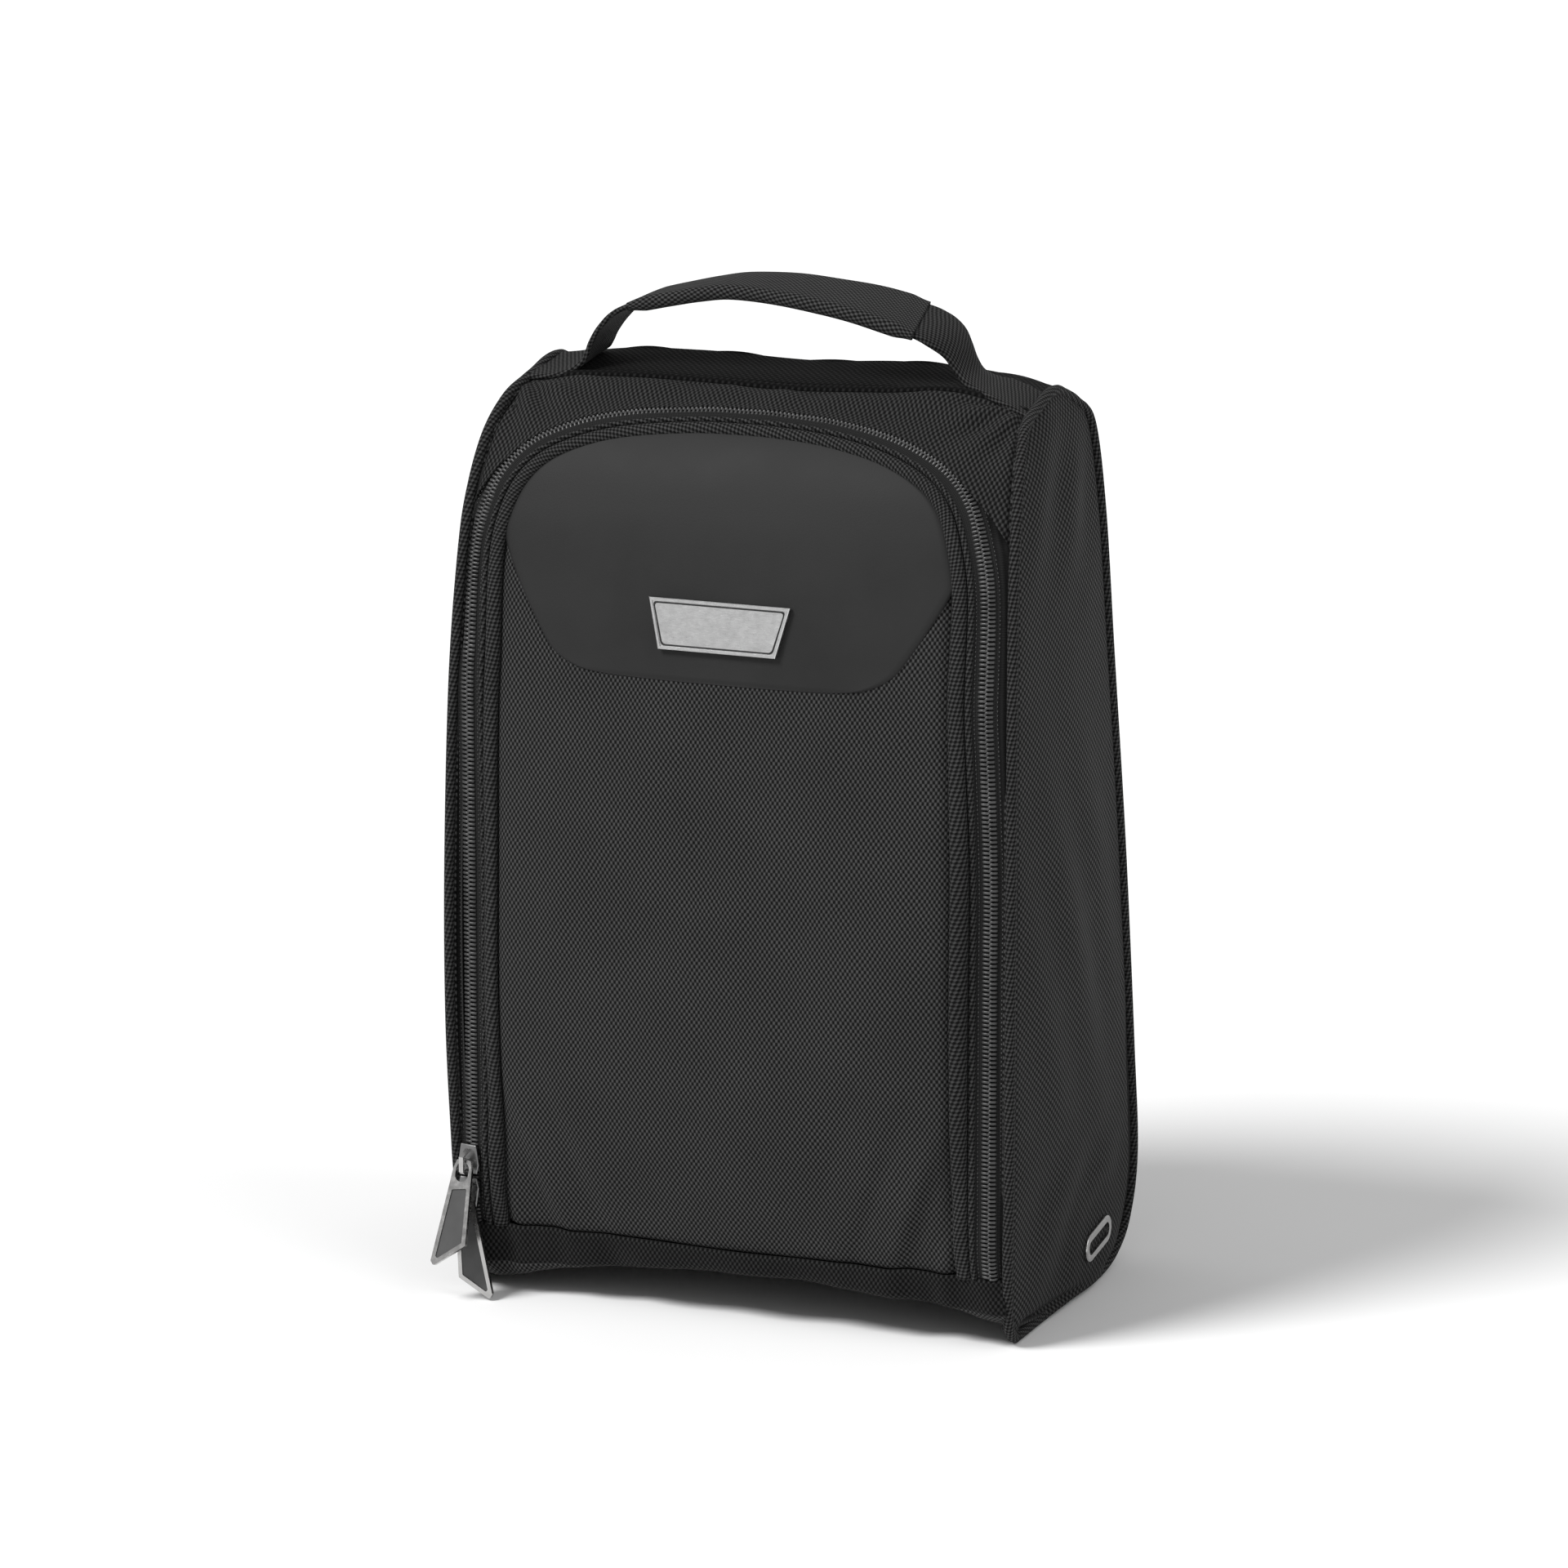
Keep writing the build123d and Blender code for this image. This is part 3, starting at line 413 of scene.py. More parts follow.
# ---- materials ----
class Shader:
    """A material's node tree, built by chaining calls."""

    def __init__(self, name):
        self.material = bpy.data.materials.new(name)
        self.material.use_nodes = True
        self.tree = self.material.node_tree
        self.surface = self.tree.nodes["Principled BSDF"]

    def join(self, value, socket):
        """Links an output to a socket, or sets the socket's own value."""
        if isinstance(value, bpy.types.NodeSocket):
            self.tree.links.new(value, socket)
        else:
            socket.default_value = value

    def node(self, kind, *values, **settings):
        """A new node with its properties set, and its first sockets linked or given values."""
        made = self.tree.nodes.new(kind)
        for key, value in settings.items():
            setattr(made, key, value)
        for value, socket in zip(values, made.inputs):
            self.join(value, socket)
        return made

    def math(self, operation, *values):
        """A math node's result."""
        return self.node("ShaderNodeMath", *values, operation=operation).outputs[0]

    def add(self, first, second):
        """A sum."""
        return self.math("ADD", first, second)

    def times(self, first, second):
        """A product."""
        return self.math("MULTIPLY", first, second)

    def scaled(self, value, low, high, new_low, new_high):
        """A value carried from one range to another, and held inside it."""
        return self.node("ShaderNodeMapRange", value, low, high, new_low, new_high).outputs[0]

    def mapped(self, vector, scale, turn=0.0):
        """A vector turned by some degrees about Z and scaled."""
        mapping = self.node("ShaderNodeMapping", vector)
        mapping.inputs["Rotation"].default_value = (0, 0, math.radians(turn))
        mapping.inputs["Scale"].default_value = scale
        return mapping.outputs[0]

    def weave_xy(self, turn=0.0):
        """The weave coordinate in millimetres, turned by some degrees."""
        weave = self.node("ShaderNodeUVMap", uv_map="weave")
        vector = self.mapped(weave.outputs[0], (1 / MM, 1 / MM, 1), turn)
        split = self.node("ShaderNodeSeparateXYZ", vector)
        return split.outputs[0], split.outputs[1], vector

    def noise(self, vector, scale, detail, roughness=0.5):
        """Soft noise between 0 and 1."""
        made = self.node("ShaderNodeTexNoise", vector)
        made.inputs["Scale"].default_value = scale
        made.inputs["Detail"].default_value = detail
        made.inputs["Roughness"].default_value = roughness
        return made.outputs["Fac"]

    def place(self):
        """The point's place on the object, in millimetres."""
        where = self.node("ShaderNodeTexCoord")
        return self.mapped(where.outputs["Object"], (1 / MM, 1 / MM, 1 / MM))

    def shade(self, factor, dark, light):
        """A colour between dark and light."""
        made = self.node("ShaderNodeMix", factor, data_type="RGBA")
        made.inputs[6].default_value = (*dark, 1)
        made.inputs[7].default_value = (*light, 1)
        return made.outputs[2]

    def relief(self, height, depth_mm, before=None):
        """A bump of the given depth, on top of an earlier one."""
        made = self.node("ShaderNodeBump")
        made.inputs["Distance"].default_value = depth_mm * MM
        self.join(height, made.inputs["Height"])
        if before is not None:
            self.join(before, made.inputs["Normal"])
        return made.outputs[0]

    def finish(self, colour, roughness, normal=None, **values):
        """Sets the surface's own sockets and returns the material."""
        self.join(colour, self.surface.inputs["Base Color"])
        self.join(roughness, self.surface.inputs["Roughness"])
        if normal is not None:
            self.join(normal, self.surface.inputs["Normal"])
        for key, value in values.items():
            self.surface.inputs[key.replace("_", " ")].default_value = value
        return self.material


def grey(level, warmth=0.0):
    """A near-neutral colour."""
    return (level * (1 + warmth), level, level * (1 - warmth))


MAIN_PITCH = (0.96, 1.37)   # the main cloth's threads, across and along
WEAVE_LEVEL = 0.34          # the cloth's level between its raised threads and the painted shade of its small gaps


def woven(name, dark, light, pitch=MAIN_PITCH, turn=0.0, depth=0.2):
    """Plain-woven cloth: rounded threads with a small gap in every other cell, like a chessboard. The colour
    follows the threads' height: painted highlight on the raised threads, painted shade in the gaps; the fibre
    and patch noise are the cloth's own tone.
    """
    shader = Shader(name)
    across, along, vector = shader.weave_xy(turn)
    drift = shader.noise(vector, 0.05, 2.0)
    across = shader.add(across, shader.times(drift, 2.0))
    u = shader.math("DIVIDE", across, pitch[0])
    v = shader.math("DIVIDE", along, pitch[1])
    step = shader.add(shader.math("FLOOR", u), shader.math("FLOOR", v))
    over = shader.math("PINGPONG", step, 1.0)
    arc_u = shader.math("SINE", shader.times(shader.math("FRACT", u), math.pi))
    arc_v = shader.math("SINE", shader.times(shader.math("FRACT", v), math.pi))
    arc = shader.math("POWER", shader.times(arc_u, arc_v), 0.6)
    swing = shader.times(arc, shader.math("SUBTRACT", over, WEAVE_LEVEL))
    lift = shader.add(swing, WEAVE_LEVEL)
    fibre = shader.noise(vector, 2.6, 3.0, 0.6)
    patch = shader.noise(vector, 0.03, 3.0, 0.6)
    # painted light: the tone follows the thread height, lighter on the raised threads (painted highlight) and
    # darker in the gaps (painted shade)
    tone = shader.add(lift, shader.scaled(fibre, 0.3, 0.7, -0.12, 0.12))
    tone = shader.times(tone, shader.scaled(patch, 0.35, 0.65, 0.93, 1.05))
    height = shader.add(lift, shader.times(fibre, 0.1))
    roughness = shader.scaled(lift, 0.2, 1.0, 0.9, 0.6)
    return shader.finish(shader.shade(tone, dark, light), roughness, shader.relief(height, depth),
                         Sheen_Weight=0.02, Sheen_Roughness=0.5, Specular_IOR_Level=0.1)


def ribbed_tape(name, dark, light):
    """Zip tape: a fine, tight, nearly smooth rib. Its colour follows the rib height, darker in the hollows as
    painted shade; the fibre noise is the tape's own tone.
    """
    shader = Shader(name)
    across, along, vector = shader.weave_xy()
    rib = shader.math("SINE", shader.times(along, 2 * math.pi / 0.62))
    row = shader.math("SINE", shader.times(across, 2 * math.pi / 0.8))
    cloth = shader.add(shader.times(rib, 0.5), shader.times(row, 0.35))
    fibre = shader.noise(vector, 1.4, 4.0, 0.65)
    height = shader.add(cloth, fibre)
    # painted shade: the tone follows the rib height, darker in the hollows
    tone = shader.scaled(height, -0.4, 1.4, 0.0, 1.0)
    return shader.finish(shader.shade(tone, dark, light), shader.scaled(fibre, 0.3, 0.7, 0.75, 0.9),
                         shader.relief(height, 0.07), Specular_IOR_Level=0.12)


def leather(name, dark, light):
    """Smooth matt moulded leathercloth with a very fine grain and soft rubbing."""
    shader = Shader(name)
    vector = shader.place()
    grain = shader.node("ShaderNodeTexVoronoi", vector, feature="SMOOTH_F1")
    grain.inputs["Scale"].default_value = 1.5
    pores = shader.noise(vector, 3.2, 3.0, 0.6)
    rub = shader.noise(vector, 0.03, 3.0, 0.55)
    height = shader.add(grain.outputs["Distance"], shader.times(pores, 0.5))
    normal = shader.relief(height, 0.025)
    return shader.finish(shader.shade(shader.scaled(rub, 0.3, 0.7, 0.0, 1.0), dark, light),
                         shader.scaled(rub, 0.3, 0.7, 0.56, 0.66), normal,
                         Specular_IOR_Level=0.16)


def metal(name, colour, roughness, brushed=0.0):
    """Plated or brushed metal with faint handling marks."""
    shader = Shader(name)
    vector = shader.place()
    lines = shader.noise(shader.mapped(vector, (0.12, 1.0, 5.0)), 2.4, 5.0, 0.7)
    marks = shader.noise(vector, 0.35, 4.0, 0.6)
    normal = shader.relief(marks, 0.012)
    if brushed:
        normal = shader.relief(lines, brushed, normal)
    tone = shader.scaled(marks, 0.3, 0.7, 0.0, 1.0)
    dark = tuple(c * 0.82 for c in colour)
    rough = shader.scaled(lines if brushed else marks, 0.3, 0.7, roughness * 0.75, roughness * 1.3)
    return shader.finish(shader.shade(tone, dark, colour), rough, normal, Metallic=1.0)


def plastic(name, dark, light, roughness):
    """Moulded plastic with a fine grain."""
    shader = Shader(name)
    vector = shader.place()
    speck = shader.noise(vector, 2.2, 4.0, 0.6)
    cloud = shader.noise(vector, 0.11, 2.0, 0.5)
    return shader.finish(shader.shade(shader.scaled(cloud, 0.3, 0.7, 0.0, 1.0), dark, light),
                         shader.scaled(speck, 0.3, 0.7, roughness * 0.85, roughness * 1.15),
                         shader.relief(speck, 0.02), Specular_IOR_Level=0.45)


def floor_surface(name):
    """A pale studio floor with the slightest mottling."""
    shader = Shader(name)
    cloud = shader.noise(shader.place(), 0.006, 2.0, 0.5)
    return shader.finish(shader.shade(cloud, grey(0.86), grey(0.9)), 0.9, Specular_IOR_Level=0.1)


MAIN_CLOTH = woven("main_cloth", grey(0.0), grey(0.062), depth=0.3)
# a darker copy of the main cloth for the lower band: painted shade, as the band turns down and under
BAND_CLOTH_PAINTED_SHADE = woven("band_cloth", grey(0.0), grey(0.022))
SIDE_CLOTH = woven("side_cloth", grey(0.0), grey(0.049), pitch=(1.6, 1.37), depth=0.3)
TOP_CLOTH = woven("top_cloth", grey(0.0), grey(0.04), pitch=(0.98, 1.7), depth=0.3)
# the top strip's near-black cloth is painted shade: it lies in the handle's shadow
STRIP_CLOTH_PAINTED_SHADE = woven("strip_cloth", grey(0.0), grey(0.005), pitch=(1.3, 1.5))
WEBBING = woven("strap_webbing", grey(0.0), grey(0.046), pitch=(1.0, 1.2), turn=28)
GRIP_CLOTH = woven("grip_cloth", grey(0.0), grey(0.058), turn=12, depth=0.3)
# the binding's own cloth, kept darker than the main cloth as painted shade for the grooves beside the piping
BINDING_WITH_PAINTED_SHADE = woven("binding_cloth", grey(0.0), grey(0.05), pitch=(1.3, 1.0), turn=35, depth=0.3)
LINING = woven("lining_cloth", grey(0.012), grey(0.04), pitch=(0.35, 0.35), depth=0.05)
MESH_CLOTH = woven("vent_mesh_cloth", grey(0.001), grey(0.05), pitch=(0.9, 0.9), depth=0.3)
TAPE = ribbed_tape("zip_tape_cloth", grey(0.003), grey(0.022))
COIL = plastic("zip_coil_nylon", grey(0.028), grey(0.052), 0.35)
# the coil heads' lighter colour is a painted highlight along the coil's middle
COIL_HEAD_PAINTED_HIGHLIGHT = plastic("zip_coil_head_painted_highlight", grey(0.055), grey(0.09), 0.35)
THREAD = plastic("sewing_thread", grey(0.05), grey(0.09), 0.5)
YOKE = leather("yoke_leathercloth", grey(0.0165), grey(0.021))
BADGE = metal("badge_steel", grey(0.66), 0.3, brushed=0.04)
BADGE_LINE = plastic("badge_engraving", grey(0.003), grey(0.006), 0.6)
NICKEL = metal("bright_nickel", grey(0.52, 0.01), 0.24)
DARK_NICKEL = metal("dark_nickel", grey(0.2), 0.3)
INLAY = plastic("pull_inlay_rubber", grey(0.04), grey(0.06), 0.45)
BOARD = plastic("base_board_sheet", grey(0.03), grey(0.05), 0.6)
FLOOR = floor_surface("studio_floor")


# ---- the front wall ----
def zip_line():
    """The coil's centre line over the arch, as (x, s), from the right leg's foot to the left leg's."""
    foot = s_of_z(DOOR_SEAM_Z, ZIP_X)
    leg = [(ZIP_X, foot)] + [(ZIP_X, s) for s in np.linspace(foot + 40, s_of_z(LEG_TOP_Z, ZIP_X), 5)]
    leg_right = leg[:-1] + [(ZIP_X - RIGHT_LEG_IN / 2, leg[-1][1])]
    left = leg + [(x, s_of_z(z, x)) for x, z in ZIP_ARCH]
    right = leg_right + [(x, s_of_z(z, x)) for x, z in ZIP_ARCH_RIGHT]
    crown = (ZIP_CROWN[0], s_of_z(ZIP_CROWN[1]))
    return smooth_path([(-x, s) for x, s in left] + [crown] + right[::-1], 1400)


ZIP_LINE = zip_line()
ZIP_LENGTH = lengths(ZIP_LINE)[-1]


def side_of(line):
    """Unit vectors pointing outwards across a line in the (x, s) plane."""
    forward = unit(np.gradient(line, axis=0))
    return np.stack([-forward[:, 1], forward[:, 0]], -1)


def arch_share(x, s):
    """0 on the zip's legs, 1 over its arch."""
    return ease(front_point(x, s)[..., 2], 288, 322)


ARCH_NARROWING = 0.1


def narrowing(line):
    """How much closer together the zip's bands lie at points along its line."""
    return 1 - ARCH_NARROWING * ease(front_point(line[:, 0], line[:, 1])[:, 2], 250, 322)


def offset_line(away):
    """The zip's line moved outwards (positive) or into the door (negative)."""
    return ZIP_LINE + side_of(ZIP_LINE) * (away * narrowing(ZIP_LINE))[:, None]


def door_sides(s, away):
    """The left and right edges of the door's outline at s, away millimetres from the coil's line."""
    border = offset_line(away)
    crown = int(np.argmax(border[:, 1]))
    left = np.interp(s, border[:crown + 1, 1], border[:crown + 1, 0])
    right = np.interp(s, border[:crown - 1:-1, 1], border[:crown - 1:-1, 0])
    return left, right, border[crown, 1]


BAND_STEPS = 700


def band(name, profile, material, raised=None, to_seam=False):
    """A closed band along the zip's line. The profile is a loop of (outwards, proud) pairs; raised lifts
    each of them by its own amount over the arch, and to_seam carries the outer edge on to the corner seam."""
    along = np.linspace(0, ZIP_LENGTH, BAND_STEPS)
    line = sample(ZIP_LINE, along)
    outwards = side_of(line)
    profile = np.array(profile, float)
    away = profile[None, :, 0] * narrowing(line)[:, None]
    if to_seam:
        seam = np.clip(seam_x(line[:, 1]) - np.abs(line[:, 0]) + 0.6, 0, TAPE_HIDDEN)
        away = np.where(profile[None, :, 0] == TAPE_EDGE, np.maximum(away, seam[:, None]), away)
    spots = line[:, None] + outwards[:, None] * away[..., None]
    proud = profile[None, :, 1] + np.zeros((BAND_STEPS, 1))
    if raised is not None:
        proud = proud + arch_share(line[:, 0], line[:, 1])[:, None] * np.array(raised)[None]
    rings = front_wall(spots[..., 0], spots[..., 1], proud)
    return tube(name, rings, loop_uvs(profile, along), material)


def half_round(middle, half, rise, base, points):
    """A loop for a piped edge: a rounded top on a flat underside."""
    angles = np.linspace(0, math.pi, points)
    top = [(middle + half * math.cos(a), base + (rise - base) * math.sin(a) ** 0.7) for a in angles]
    return top[::-1]


def between(left, right, s, columns):
    """A grid of (x, s) between two edges, and how far each of its points is from the nearer edge."""
    across = np.linspace(0, 1, columns)
    x = left[:, None] * (1 - across) + right[:, None] * across
    from_edge = np.minimum(x - left[:, None], right[:, None] - x)
    return x, np.broadcast_to(s[:, None], x.shape), from_edge


def front_sheet(name, x, s, face, back, material, inner_material=None):
    """A closed sheet on the front wall, its face and its back at their own distances in front of it."""
    outer = front_wall(x, s, face)
    inner = front_wall(x, s, back)
    return shell(name, outer, inner, np.stack([x, s], -1), material, inner_material)


def door_grid(name, material, edge, outer, inner, rows, columns):
    """A closed sheet filling the door's outline, edge millimetres inside the coil's line."""
    foot = s_of_z(DOOR_SEAM_Z)
    crown = door_sides(foot, -edge)[2]
    s = foot + (crown - foot) * np.sin(np.linspace(0, math.pi / 2, rows))
    left, right, _ = door_sides(s, -edge)
    x, s, from_edge = between(left, right, s, columns)
    groove = FOOT_GROOVE * bell(s, foot, 1.3) + PANEL_GROOVE * bell(from_edge, 0, 4.4)
    return front_sheet(name, x, s, outer - groove, inner - groove, material, LINING)


door_panel = door_grid("door_panel_cloth", MAIN_CLOTH, PANEL_EDGE, 0.0, -1.2, 230, 150)
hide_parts("door_panel", "door_foam", "fold_panel")
door_back = door_grid("door_lining_cloth", LINING, PANEL_EDGE - 2, -2.6, -3.2, 120, 60)
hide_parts("door_lining", "fold_lining")

# the piping is a thick ridge with a thin one beside it, a little fuller over the arch
PIPE_POINTS = 14
PIPE_BASE = -0.8
PIPE_MIDDLE = (PIPE_OUTER + PIPE_INNER) / 2
PIPE_HALF = (PIPE_INNER - PIPE_OUTER) / 2
THIN_MIDDLE = 6.5
THIN_HALF = 1.35
THIN_RISE = 1.25
main_ridge = half_round(-PIPE_MIDDLE, PIPE_HALF, PIPE_RISE, PIPE_BASE, PIPE_POINTS)
thin_ridge = half_round(-THIN_MIDDLE, THIN_HALF, THIN_RISE, PIPE_BASE, PIPE_POINTS)
fuller = [0.4] * PIPE_POINTS + [0.7] * PIPE_POINTS
door_piping = band("door_piping_cloth", main_ridge + thin_ridge, BINDING_WITH_PAINTED_SHADE, fuller)
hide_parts("door_piping", "fold_piping")

# the tapes' sections, as (outwards, proud); the door's has a soft roll that swells over the arch
TAPE_BACK = -1.2
DOOR_TAPE = [(-0.3, TAPE_BACK), (-PANEL_EDGE, TAPE_BACK), (-PANEL_EDGE, -0.4), (-7.2, -0.5), (-6.6, 0.0),
             (-6.0, 0.1), (-5.4, -0.2), (-3.8, -0.3), (-2.2, -0.15), (-1.2, -0.1), (-0.3, -0.1)]
DOOR_TAPE_SWELL = (0, 0, 0, 0.2, 1.1, 1.4, 0.9, 0.8, 0.95, 0.7, 0)
BODY_TAPE = [(TAPE_EDGE, TAPE_BACK), (0.3, TAPE_BACK), (0.3, -0.1), (3.2, -0.1), (3.7, -0.4),
             (TAPE_EDGE, -0.4)]
door_tape = band("door_zip_tape_cloth", DOOR_TAPE, TAPE, DOOR_TAPE_SWELL)
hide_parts("door_zip_tape")
body_tape = band("body_zip_tape_cloth", BODY_TAPE, TAPE, to_seam=True)
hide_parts("body_zip_tape")


# ---- the zip's coil ----
TOOTH_PATH = [(2.9, -0.2), (2.6, 0.15), (1.8, 0.4), (1.0, 0.55), (0.3, 0.6), (-0.3, 0.25)]
TOOTH_RADII = [0.45, 0.56, 0.58, 0.55, 0.62, 0.42]
TOOTH_SIDES = 6
TOOTH_HEAD = 4              # the segment from which a tooth is part of its head, which takes the lighter head colour: a painted highlight
FIRST_TOOTH = 0.9


def swept_teeth(name, path, radii, along, side, materials, head_from):
    """Many short bent rods along the zip's line, as one mesh; the last segments take the second material."""
    line = sample(ZIP_LINE, along)
    across = side_of(ZIP_LINE)
    across = np.stack([np.interp(along, lengths(ZIP_LINE), across[:, k]) for k in (0, 1)], -1) * side
    forward = np.stack([across[:, 1], -across[:, 0]], -1)
    turn = np.linspace(0, 2 * math.pi, TOOTH_SIDES, endpoint=False)
    path = np.array(path)
    radii = np.array(radii)
    wide = np.cos(turn)[None] * radii[:, None]
    high = np.sin(turn)[None] * radii[:, None] * 0.8
    spots = line[:, None, None] + across[:, None, None] * path[None, :, None, :1]
    spots = spots + forward[:, None, None] * wide[None, :, :, None]
    proud = np.broadcast_to(path[None, :, 1:] + high[None], spots.shape[:3])
    points = front_wall(spots[..., 0], spots[..., 1], proud).reshape(-1, 3)
    rows = len(path)
    index = np.arange(rows * TOOTH_SIDES).reshape(rows, TOOTH_SIDES)
    around = np.roll(index, -1, axis=1)
    one = np.stack([index[:-1], around[:-1], around[1:], index[1:]], -1).reshape(-1, 4)
    pick = (np.arange(len(one)) // TOOTH_SIDES >= head_from).astype(int).tolist()
    faces = []
    picks = []
    for base in np.arange(len(along)) * rows * TOOTH_SIDES:
        faces += (one + base).tolist()
        faces.append((index[0, ::-1] + base).tolist())
        faces.append((index[-1] + base).tolist())
        picks += pick + [0, 1 if head_from < rows else 0]
    return new_object(name, points, faces, np.zeros((len(points), 2)), materials, picks)


def coil(name, side):
    """One half of the coil: a row of bent nylon loops, their heads meshing with the other half's."""
    count = int(ZIP_LENGTH / COIL_PITCH)
    along = (np.arange(count) + (0.5 if side > 0 else 0.0)) * COIL_PITCH + FIRST_TOOTH
    # the heads take the lighter colour: a painted highlight
    return swept_teeth(name, TOOTH_PATH, TOOTH_RADII, along, side, [COIL, COIL_HEAD_PAINTED_HIGHLIGHT], TOOTH_HEAD)


STITCH_OFFSET = 4.3
STITCH_REACH = 0.16
STITCH_PATH = [(STITCH_OFFSET + STITCH_REACH, -0.42), (STITCH_OFFSET, -0.2),
               (STITCH_OFFSET - STITCH_REACH, -0.42)]
STITCH_RADII = [0.252, 0.42, 0.252]


def zip_stitches(name, side):
    """The row of small stitches that holds one half of the coil to its tape."""
    along = (np.arange(int(ZIP_LENGTH / COIL_PITCH)) + 0.25) * COIL_PITCH + FIRST_TOOTH
    return swept_teeth(name, STITCH_PATH, STITCH_RADII, along, side, [THREAD], len(STITCH_PATH))


door_coil = coil("door_zip_coil_teeth", -1)
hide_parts("door_zip_coil")
body_coil = coil("body_zip_coil_teeth", 1)
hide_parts("body_zip_coil")
door_stitches = zip_stitches("door_zip_stitches", -1)
body_stitches = zip_stitches("body_zip_stitches", 1)


# ---- yoke and surround ----
YOKE_TUCK = 1.2             # how far the yoke runs on under the piping
YOKE_BACK = -0.3
YOKE_FACE = 1.0
YOKE_RIM = 0.25
YOKE_ROUNDING = 2.4


def yoke():
    """The moulded leathercloth yoke: its lower edge is its own, its sides and top lie under the piping."""
    edge = smooth_path([(x, s_of_z(z, x)) for x, z in YOKE_LINE], 600)[::-1]
    low = edge[0, 1]
    high = door_sides(low, YOKE_TUCK - PIPE_INNER)[2]
    spread = (1 - np.cos(np.linspace(0, math.pi, 150))) / 2
    s = low + (high - low) * spread
    left, right, _ = door_sides(s, YOKE_TUCK - PIPE_INNER)
    free = np.interp(s, edge[:, 1], edge[:, 0], right=200)
    x, s, from_edge = between(np.maximum(left, -free), np.minimum(right, free), s, 150)
    rim = np.minimum(from_edge, s - low + 0.02)
    out = YOKE_RIM + (YOKE_FACE - YOKE_RIM) * ease(rim, 0, YOKE_ROUNDING)
    return front_sheet("yoke_leathercloth", x, s, out, YOKE_BACK, YOKE)


yoke_piece = yoke()
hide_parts("door_yoke")

SURROUND_FOOT_Z = 304.0     # where the surround starts on either side
SURROUND_LAP = 0.8          # how far its hem stays off the coil's centre line
SURROUND_CORNER_X = 88.0
SURROUND_RISE = 0.1
HEM_RISE = 1.25
HEM_REACH = 3.0
SPREAD_LENGTH = 36          # over this length the hem swings from the corner seam to the coil


def surround():
    """The fabric between the zip's arch and the bag's top and corner seams."""
    heights = front_point(ZIP_LINE[:, 0], ZIP_LINE[:, 1])[:, 2]
    along = lengths(ZIP_LINE)
    half = len(ZIP_LINE) // 2
    first = np.interp(SURROUND_FOOT_Z, heights[:half], along[:half])
    steps = np.linspace(first, along[-1] - first, 460)
    line = sample(ZIP_LINE, steps)
    outwards = side_of(line)
    from_end = np.minimum(steps - first, along[-1] - first - steps)
    left_reach = seam_x(line[0, 1]) - abs(line[0, 0])
    right_reach = seam_x(line[-1, 1]) - abs(line[-1, 0])
    reach = np.where(line[:, 0] < 0, left_reach, right_reach)
    swing = (1 - ease(from_end, -8, SPREAD_LENGTH)) / (1 - ease(0, -8, SPREAD_LENGTH))
    away = SURROUND_LAP + (reach - SURROUND_LAP) * swing
    inner = line + outwards * away[:, None]
    inner[0] = (-seam_x(inner[0, 1]), inner[0, 1])
    inner[-1] = (seam_x(inner[-1, 1]), inner[-1, 1])
    turn = int(np.argmin(np.abs(line[:half // 3 * 2, 0] + SURROUND_CORNER_X)))
    side_s = inner[0, 1] + (S_TOP - inner[0, 1]) * np.linspace(0, 1, turn + 1)
    left = np.stack([-seam_x(side_s), side_s], -1)
    top_x = np.linspace(-seam_x(S_TOP), seam_x(S_TOP), len(line) - 2 * turn)
    top = np.stack([top_x, np.full_like(top_x, S_TOP)], -1)
    right = left[::-1] * (-1, 1)
    outer = np.vstack([left[:-1], top, right[1:]])
    rows = np.linspace(0, 1, 34)[:, None, None]
    spots = inner[None] * (1 - rows) + outer[None] * rows
    from_hem = rows[..., 0] * np.linalg.norm(outer - inner, axis=1)[None]
    out = SURROUND_RISE + HEM_RISE * np.exp(-from_hem / HEM_REACH)
    x = spots[..., 0]
    s = spots[..., 1]
    return front_sheet("surround_cloth", x, s, out, out - CLOTH_THICK, TOP_CLOTH, LINING)


surround_piece = surround()
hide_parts("surround_panel")


# ---- sides, back, base and top ----
TOP_EDGE = [(102.7, -17, 353.2), (102.3, -8, 355.6), (102, 0, 356.6), (102, 7, 356.2)]
BASE_EDGE = [(111.4, 16, 2.1), (111.1, -10, 2.1), (110.9, -34, 2.1), (110.9, -47, 2.1)]
SIDE_LOOP = FRONT_SEAM + TOP_EDGE + BACK_SEAM + BASE_EDGE

SIDE_FILL = 6.0
# pulls across the gusset: height, lean, length, sway, sway's length, middle height and reach
SIDE_PULLS = ((1.1, -1.5, 9.5, 0.6, 14.0, 318, 24.0), (1.1, -1.1, 9.0, 0.5, 11.0, 34, 26.0),
              (0.9, 2.2, 15.0, 0.0, 1.0, 150, 70.0))
FRONT_TUCK = 1.8            # how deep the gusset is drawn in beside its front and rear seams
BACK_TUCK = 0.9
FOOT_TUCK = 3.2             # and along its foot and the lower part of its rear seam
HEEL_TUCK = 2.6
LINING_IN = 3.2
LINING_THICK = 0.5


def open_edge(points, rows):
    """Even points along a seam."""
    return even(smooth_path(points, 600), rows)


